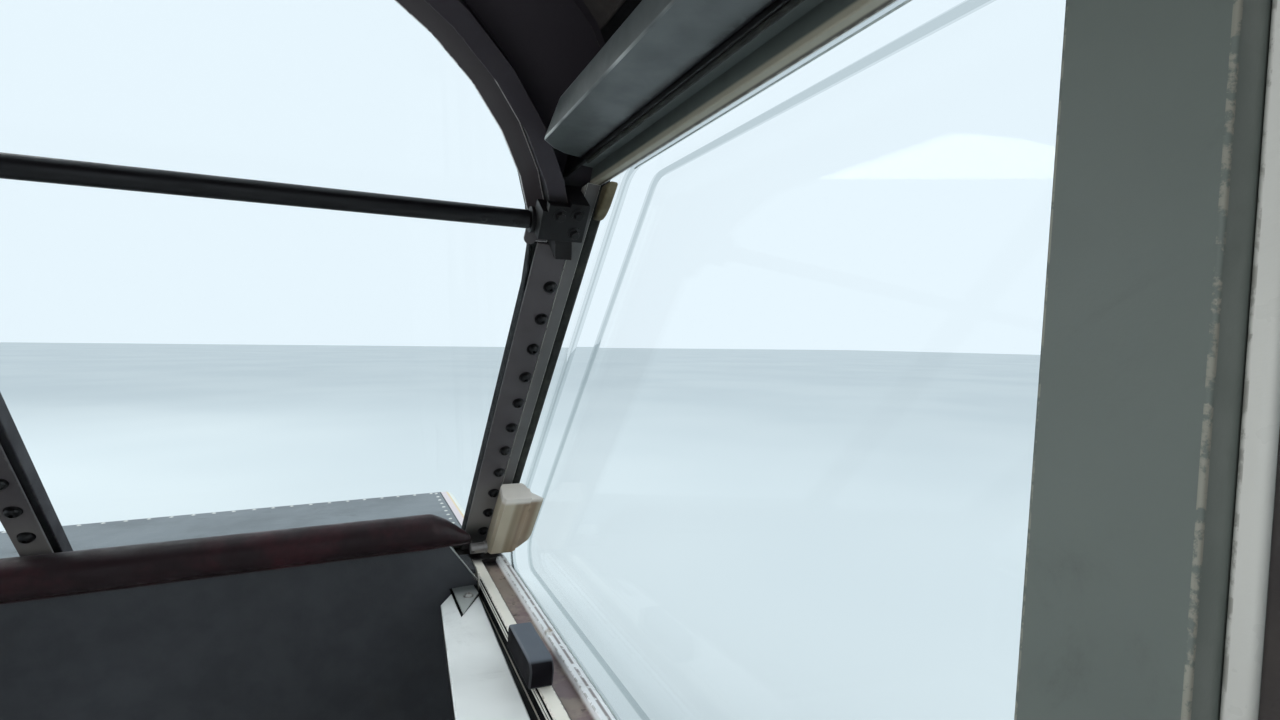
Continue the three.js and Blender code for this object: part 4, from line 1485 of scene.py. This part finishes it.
@dataclass
class CrossTube:
    """The tube across the windshield and the brackets that hold it."""

    finishes: Finishes
    up: float = 674 * MM
    depth: float = -20 * MM
    radius: float = 10.5 * MM
    half: float = 552 * MM

    def build(self) -> None:
        """Builds and dresses the tube and its brackets."""
        across = LAYOUT.glazing @ Matrix.Translation((0, self.up, self.depth))
        lengthwise = across @ Matrix.Rotation(math.pi / 2, 4, "Y")
        piece = Workpiece()
        radius, half, chamfer = self.radius, self.half, 1.5 * MM
        piece.turned([
            (0, -half), (radius - chamfer, -half), (radius, -half + chamfer),
            (radius, 0), (radius, half - chamfer), (radius - chamfer, half), (0, half)],
            lengthwise, 32)
        piece.finish("cross_tube_dressed", self.finishes.tube, slot=Slot.TUBE,
                     replaces=["cross_tube"])
        self.rivets(lengthwise)
        for side in Side:
            self.bracket(side)

    def rivets(self, lengthwise: Matrix) -> None:
        """Small rivets in pairs near the tube's ends and middle."""
        seats = []
        out = Matrix.Translation((0, 0, self.radius)) @ Matrix.Identity(4)
        for place in (-0.535, -0.500, -0.02, 0.02, 0.500, 0.535):
            for quarter in (0, 180):
                turn = Matrix.Rotation(math.radians(quarter), 4, "Z")
                face = Matrix.Rotation(math.pi / 2, 4, "Y")
                seats.append(lengthwise @ Matrix.Translation((0, 0, place)) @ turn @ face @ out)
        fastened("cross_tube_rivets", self.finishes.tube, Slot.TUBE,
                 [(Rivet(3.4 * MM, 1.4 * MM), seats)])

    def bracket(self, side: Side) -> None:
        """One end fitting with its bolts."""
        dressed(side.named("tube_bracket"), self.finishes.black, Slot.DARK, 1.6 * MM)
        glazing = side.matrix @ LAYOUT.glazing
        face = -40.3 * MM - 11 * MM
        inward = Matrix.Rotation(math.pi, 4, "X")
        seats = [
            glazing @ Matrix.Translation((self.half + dx, self.up + ds, face)) @ inward
            for dx, ds in ((0.0243, 0.023), (0.0443, 0.026), (0.0443, 0.003))]
        fastened(side.named("bracket_bolts"), self.finishes.black_screws, Slot.DARK,
                 [(HexBolt(9 * MM, 4.5 * MM, 7.5 * MM), seats)])


@dataclass
class Corner:
    """The corner post, jamb and seals between windshield and side window."""

    finishes: Finishes
    side: Side

    def build(self) -> None:
        """Builds and dresses the corner's pieces."""
        for stem, material, slot, width in (
                ("corner_post", self.finishes.hull, Slot.HULL, 2 * MM),
                ("front_jamb", self.finishes.jamb(self.side), Slot.JAMB, 0.7 * MM),
                ("jamb_seal", self.finishes.rubber, Slot.RUBBER, 1.5 * MM)):
            dressed(self.side.named(stem), material, slot, width)
        self.upper_seal()

    def upper_seal(self) -> None:
        """The moulded rubber that rounds off the window's upper front corner."""
        wall = self.side.matrix @ LAYOUT.wall
        top = LAYOUT.window_h - 0.4 * MM
        front = LAYOUT.foot_y - LAYOUT.wall_y
        slope = math.tan(LAYOUT.rake) * math.cos(LAYOUT.tilt)

        def edge(height: float) -> float:
            """The jamb's aft face at a height up the wall."""
            return front + slope * height + 1.5 * MM

        low = top - 36 * MM
        outline = [(edge(low), low)]
        for rise, width in ((0, 9), (2, 14), (6, 18), (12, 21), (20, 22), (29, 23), (36, 24)):
            height = low + rise * MM
            outline.append((edge(height) + width * MM, height))
        outline.append((edge(top), top))
        piece = Workpiece()
        piece.run(outline, Axis.X, 0.6 * MM, 13 * MM, wall)
        piece.recalculated().soften(3 * MM, 3)
        piece.finish(self.side.named("corner_seal"), self.finishes.old_rubber, slot=Slot.RUBBER)


@dataclass
class SideSill:
    """The sill, its trim box, corner plate and latch on one side."""

    finishes: Finishes
    side: Side

    def build(self) -> None:
        """Builds and dresses the sill's pieces."""
        for stem, material, slot, width, segments in (
                ("sill_rail", self.finishes.sill(self.side), Slot.SILL, 1.5 * MM, 3),
                ("placard_box", self.finishes.trim, Slot.TRIM, 2.2 * MM, 3),
                ("aft_post", self.finishes.aft_post, Slot.GREEN, 1.5 * MM, 2)):
            dressed(self.side.named(stem), material, slot, width, segments)
        self.corner_plate()
        self.grooves()
        self.latch()

    def grooves(self) -> None:
        """The dark channel beside the sill's inner lip, with its two bright beads."""
        wall = self.side.matrix @ LAYOUT.wall
        start, end = -0.515, 0.080
        foot, top = -23 * MM, -1.2 * MM
        face = -45.2 * MM
        channel = Workpiece()
        channel.box((face - 1.6 * MM, start, foot), (face, end, top), wall)
        channel.recalculated().soften(0.4 * MM, 1)
        channel.finish(self.side.named("sill_channel"), self.finishes.sealant, slot=Slot.RUBBER)
        beads = Workpiece()
        for height in (-3.2 * MM, -8.4 * MM):
            beads.box((face - 3.0 * MM, start, height - 0.7 * MM),
                      (face - 1.4 * MM, end, height + 0.7 * MM), wall)
        beads.recalculated().soften(0.3 * MM, 1)
        beads.finish(self.side.named("sill_beads"), self.finishes.beads, slot=Slot.RAIL)

    def corner_plate(self) -> None:
        """The grey plate with its screw, on a dark gasket."""
        node = self.side.named("corner_plate")
        low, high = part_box(node)
        dressed(node, self.finishes.plate, Slot.FRAME, 0.6 * MM)
        copy = Workpiece.of_node(node)
        middle = (low + high) / 2
        grow = Matrix.Diagonal((1.22, 1.12, 0.10, 1))
        seat = Vector((middle.x, middle.y, low.z))
        bmesh.ops.transform(
            copy.bm, matrix=Matrix.Translation(seat) @ grow @ Matrix.Translation(-seat),
            verts=copy.bm.verts)
        copy.finish(self.side.named("corner_gasket"), self.finishes.sealant, slot=Slot.RUBBER)
        top = Matrix.Translation((self.side.value * 0.531, -0.286, high.z - 2.4 * MM))
        fastened(self.side.named("corner_screw"), self.finishes.bright_bolts, Slot.FRAME,
                 [(Screw(6 * MM, 2.6 * MM, 8 * MM), [top])])

    def latch(self) -> None:
        """The black latch, domed at its aft end, with the slot along its foot."""
        node = self.side.named("sill_latch")
        wall = self.side.matrix @ LAYOUT.wall
        front, aft, top = -0.283, -0.176, 0.030
        nose, dome, rise = 8 * MM, 17 * MM, 13 * MM
        outline = [(front, 0.3 * MM), (front, top - nose), (front + 0.3 * nose, top - 0.3 * nose),
                   (front + nose, top)]
        steps = 7
        for index in range(steps + 1):
            turn = math.pi / 2 * index / steps
            outline.append((
                aft - dome + dome * math.sin(turn), top - rise + rise * math.cos(turn)))
        outline.append((aft - 2 * MM, 0.3 * MM))
        piece = Workpiece()
        piece.run(outline, Axis.X, -56 * MM, -28.5 * MM, wall)
        piece.recalculated().soften(2.2 * MM, 3)
        piece.finish(node + "_dressed", self.finishes.moulded_latch(self.side), slot=Slot.LATCH,
                     replaces=[node])


@dataclass
class SideHeader:
    """The header rail, its seals and the trim box under the ceiling on one side."""

    finishes: Finishes
    side: Side

    def build(self) -> None:
        """Builds and dresses the header's pieces."""
        for stem, material, width, segments in (
                ("header_rail", self.finishes.green(self.side), 1.3 * MM, 3),
                ("header_box", self.finishes.box(self.side), 1.7 * MM, 3)):
            node = self.side.named(stem)
            piece = Workpiece.of_node(node).soften(width, segments, 24)
            piece.unworn(self.hidden)
            piece.finish(node + "_dressed", material, slot=Slot.GREEN, replaces=[node])
        self.seals()

    def hidden(self, face: bmesh.types.BMFace) -> bool:
        """Whether a face lies in the gap between the box and the rail."""
        inverse = (self.side.matrix @ LAYOUT.wall).inverted()
        return -60 * MM < (inverse @ face.calc_center_median()).x < -30 * MM

    def seals(self) -> None:
        """The dark seal lines beside the header box."""
        wall = self.side.matrix @ LAYOUT.wall
        low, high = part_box(self.side.named("header_box"))
        start = low.y - LAYOUT.wall_y + 12 * MM
        end = high.y - LAYOUT.wall_y - 2 * MM
        piece = Workpiece()
        for across, up, radius in ((-41.8 * MM, 0.5715, 2.2 * MM), (-0.036, 0.586, 2.2 * MM)):
            path = [Vector((across, start + (end - start) * share, up)) for share in (0, 0.5, 1)]
            piece.swept(
                [wall @ station for station in stations_along(path)], [radius] * len(path), 10)
        piece.finish(self.side.named("header_seals"), self.finishes.rubber, slot=Slot.RUBBER)


@dataclass
class Sash:
    """The bulged sliding window of one side, its grip and the rails that it runs in."""

    finishes: Finishes
    side: Side
    flange: tuple[float, float] = (20.2 * MM, 25.8 * MM)
    bend: float = 4.5 * MM

    @property
    def body(self) -> Body:
        """The body that the sash moves with."""
        return Body.SASH_PORT if self.side is Side.PORT else Body.SASH_STBD

    def build(self) -> None:
        """Builds and dresses the sash and its rails."""
        pane = self.side.named("sash_pane")
        inverse = (self.side.matrix @ LAYOUT.wall).inverted()
        turn = inverse.to_3x3()

        def rim(face: bmesh.types.BMFace) -> bool:
            """Whether a face is part of the flange's cut edge."""
            reach = [(inverse @ vert.co).x for vert in face.verts]
            return (min(reach) > self.flange[0] and max(reach) < self.flange[1]
                    and abs((turn @ face.normal).x) < 0.5)
        piece = Workpiece.of_node(pane)
        piece.soften(self.bend, 4, 28, inner=True, spare=rim)
        piece.second_finish(rim, self.finishes.cut_acrylic)
        piece.finish(pane + "_clear", self.finishes.acrylic, self.body, Slot.ACRYLIC,
                     [pane], angle=60)
        grip = self.side.named("sash_handle")
        piece = Workpiece.of_node(grip).soften(4.5 * MM, 4, 40)
        piece.finish(grip + "_dressed", self.finishes.handle(self.side), self.body, Slot.HANDLE,
                     [grip], angle=40)
        for stem in ("lower_rail", "upper_rail"):
            dressed(self.side.named(stem), self.finishes.rail, Slot.RAIL, 0.5 * MM)
        self.rail_screws()

    def rail_screws(self) -> None:
        """Screws along the outer legs of both rails."""
        rows = []
        inward = (-self.side.value, 0, 0)
        far = self.side.value * OUTSIDE
        for stem in ("lower_rail", "upper_rail"):
            node = self.side.named(stem)
            low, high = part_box(node)
            middle = (low.z + high.z) / 2
            rows.append((Screw(3.4 * MM, 1.6 * MM, 0), Skin(node).seats(
                line_rays((far, low.y + 0.03, middle), (far, high.y - 0.03, middle), inward),
                0.16)))
        fastened(self.side.named("rail_screws"), self.finishes.bright_bolts, Slot.RAIL, rows)


@dataclass
class Coaming:
    """The padded roll behind the windshield and the panel under it."""

    finishes: Finishes
    y: float = -0.340
    z: float = 0.386
    stations: tuple[tuple[float, float, float], ...] = (
        (0.0, 0.0265, 0.0), (0.482, 0.0265, 0.0), (0.503, 0.0212, 0.0045),
        (0.514, 0.0174, 0.0085), (0.524, 0.0138, 0.0128), (0.535, 0.0098, 0.0165),
        (0.5435, 0.0056, 0.0198))
    voxel: float = 5 * MM
    cap: float = 6 * MM
    frames: int = 20

    def build(self) -> None:
        """Builds and dresses the coaming's pieces."""
        dressed("coaming_panel", self.finishes.panel, Slot.PANEL, 1.8 * MM)
        self.roll()
        self.bolts()

    @property
    def whole(self) -> list[tuple[float, float, float]]:
        """The stations from end to end: place across, radius and drop."""
        return [(-x, r, d) for x, r, d in reversed(self.stations[1:])] + list(self.stations)

    def slack(self) -> Workpiece:
        """The roll before it is filled, a little thinner than it ends up."""
        path = [Vector((x, self.y, self.z - drop)) for x, _, drop in self.whole]
        piece = Workpiece()
        frames = [Matrix.Translation(p) @ Matrix.Rotation(math.pi / 2, 4, "Y") for p in path]
        piece.swept(frames, [radius for _, radius, _ in self.whole], 24)
        return piece

    def roll(self) -> None:
        """Fills the roll's cover like cloth round stuffing, and sews its seam on."""
        piece = self.slack().finish(
            "coaming_roll_padded", self.finishes.padding, slot=Slot.PADDING,
            replaces=["coaming_roll"])
        self.fill(piece)
        for face in piece.data.polygons:
            face.use_smooth = True
        seam = Workpiece()
        turn = math.radians(152)
        path = []
        for x, radius, drop in self.whole:
            reach = radius + 1.0 * MM
            path.append(Vector((
                x, self.y + reach * math.sin(turn), self.z - drop + reach * math.cos(turn))))
        seam.swept(stations_along(path), [1.7 * MM] * len(path), 8)
        seam.finish("coaming_roll_seam", self.finishes.padding, slot=Slot.PADDING)

    def fill(self, piece: bpy.types.Object) -> None:
        """Runs the cloth and keeps its shape, moved no further than the cap.

        Args:
            piece: The roll to fill.
        """
        remesh = piece.modifiers.new("even_mesh", "REMESH")
        remesh.mode = "VOXEL"
        remesh.voxel_size = self.voxel
        bake_modifiers(piece)
        start = [vert.co.copy() for vert in piece.data.vertices]
        cloth = piece.modifiers.new("filling", "CLOTH")
        cloth.settings.use_pressure = True
        cloth.settings.uniform_pressure_force = 4.0
        cloth.settings.tension_stiffness = 15
        cloth.settings.effector_weights.gravity = 0
        cloth.point_cache.frame_start = 1
        cloth.point_cache.frame_end = self.frames
        scene = bpy.context.scene
        for number in range(1, self.frames + 1):
            scene.frame_set(number)
        bake_modifiers(piece)
        scene.frame_set(1)
        for vert, rest in zip(piece.data.vertices, start):
            moved = vert.co - rest
            if moved.length > self.cap:
                moved *= self.cap / moved.length
            vert.co = rest + moved
        smooth = piece.modifiers.new("even_faces", "SUBSURF")
        smooth.levels = smooth.render_levels = 1
        bake_modifiers(piece)

    def bolts(self) -> None:
        """The bolts at the roll's ends and along the panel's foot."""
        skin = Skin("coaming_panel")
        low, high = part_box("coaming_panel")
        aft = high.y + 0.2
        rows = []
        seats = skin.seats(line_rays(
            (-0.50, aft, low.z + 0.03), (0.50, aft, low.z + 0.03), (0, -1, 0)), 0.125)
        rows.append((Screw(5 * MM, 2.6 * MM, 8 * MM), seats))
        fastened("coaming_bolts", self.finishes.bright_bolts, Slot.PANEL, rows)
        pins = Workpiece()
        long, radius, lip = 26 * MM, 8.5 * MM, 10 * MM
        for side in Side:
            start = Matrix.Translation((side.value * 0.5405, self.y + 9 * MM, 0.352))
            pins.turned([
                (0, 0), (radius, 0), (radius, long - 4 * MM), (lip, long - 4 * MM),
                (lip, long), (lip - 2 * MM, long), (lip - 3 * MM, long - 1.5 * MM),
                (0, long - 1.5 * MM)],
                start @ Matrix.Rotation(side.value * math.pi / 2, 4, "Y"), 24)
        pins.finish("coaming_pins", self.finishes.pins, slot=Slot.PANEL, angle=40)
        edges = Workpiece()
        for side in Side:
            path = [Vector((side.value * x, high.y + 0.4 * MM, z))
                    for x, z in ((0.508, 0.3615), (0.530, 0.331), (0.5525, 0.299))]
            edges.swept(stations_along(path), [1.1 * MM] * len(path), 8)
        edges.finish("coaming_edge_beads", self.finishes.rail, slot=Slot.PANEL)


@dataclass
class Studio:
    """The floor, lights and camera, which aren't part of the section."""

    width: int = 1280
    height: int = 720
    focal: float = 600.0
    vanishing: tuple[float, float] = (357.0, 338.0)
    eye: tuple[float, float, float] = (-0.375, 0.653, 0.690)

    def build(self) -> None:
        """Sets the stage."""
        self.floor()
        self.lights()
        self.camera()

    def floor(self) -> None:
        """A plain pale floor."""
        bm = bmesh.new()
        bmesh.ops.create_grid(bm, x_segments=1, y_segments=1, size=60,
                              matrix=Matrix.Translation((0, 0, -1 * MM)))
        mesh = bpy.data.meshes.new("floor")
        bm.to_mesh(mesh)
        bm.free()
        board = Board("pale_floor")
        board.set(
            Base_Color=board.blend(
                board.step(board.noise(0.4, 2), 0.3, 0.7), tone(204, 210, 212), tone(212, 217, 218)),
            Roughness=0.9)
        mesh.materials.append(board.material)
        floor = bpy.data.objects.new("floor", mesh)
        bpy.context.scene.collection.objects.link(floor)

    def lights(self) -> None:
        """Soft light all round and two large soft lamps."""
        scene = bpy.context.scene
        world = bpy.data.worlds.new("soft_daylight")
        world.use_nodes = True
        background = world.node_tree.nodes["Background"]
        background.inputs["Color"].default_value = (0.82, 0.91, 0.99, 1)
        background.inputs["Strength"].default_value = 1.06
        scene.world = world
        scene.view_settings.view_transform = "Standard"
        for name, place, aim, power, size in (
                ("key", (3.4, -3.2, 4.2), (0, 0, 0.4), 150.0, 3.0),
                ("fill", (-3.6, 2.6, 3.2), (0, 0, 0.4), 70.0, 4.0),
                ("cabin", (0.12, 0.96, 0.66), (-0.5, -0.3, 0.55), 4.0, 0.6)):
            lamp = bpy.data.lights.new(name, "AREA")
            lamp.energy = power
            lamp.size = size
            holder = bpy.data.objects.new(name, lamp)
            scene.collection.objects.link(holder)
            holder.location = place
            way = Vector(aim) - Vector(place)
            holder.rotation_euler = way.to_track_quat("-Z", "Y").to_euler()
            holder.visible_glossy = False
            holder.visible_transmission = name != "cabin"

    def camera(self) -> None:
        """The eye beside the starboard window, looking forward past its front edge."""
        across, down = self.vanishing
        ahead = Vector((
            (across - self.width / 2) / self.focal, (self.height / 2 - down) / self.focal, 1.0))
        ahead.normalize()
        upward = Vector((0, 1, 0))
        upward = (upward - upward.dot(ahead) * ahead).normalized()
        rightward = upward.cross(ahead)
        if rightward.x < 0:
            rightward = -rightward
        columns = [
            Vector((-rightward[axis], -ahead[axis], upward[axis])) for axis in range(3)]
        turn = Matrix((columns[0], columns[1], -columns[2])).transposed().to_4x4()
        lens = bpy.data.cameras.new("eye")
        lens.sensor_width = 36.0
        lens.lens = self.focal / self.width * lens.sensor_width
        lens.clip_start = 0.01
        lens.clip_end = 200.0
        camera = bpy.data.objects.new("eye", lens)
        bpy.context.scene.collection.objects.link(camera)
        camera.matrix_world = Matrix.Translation(self.eye) @ turn
        bpy.context.scene.camera = camera


def main() -> None:
    """Builds every sub-assembly in order."""
    logging.basicConfig(level=logging.INFO, format="%(name)s: %(message)s")
    finishes = Finishes()
    Studio().build()
    Hull(finishes).build()
    Windshield(finishes).build()
    CrossTube(finishes).build()
    for side in Side:
        Corner(finishes, side).build()
        SideSill(finishes, side).build()
        SideHeader(finishes, side).build()
        Sash(finishes, side).build()
    Coaming(finishes).build()


if __name__ == "__main__":
    main()
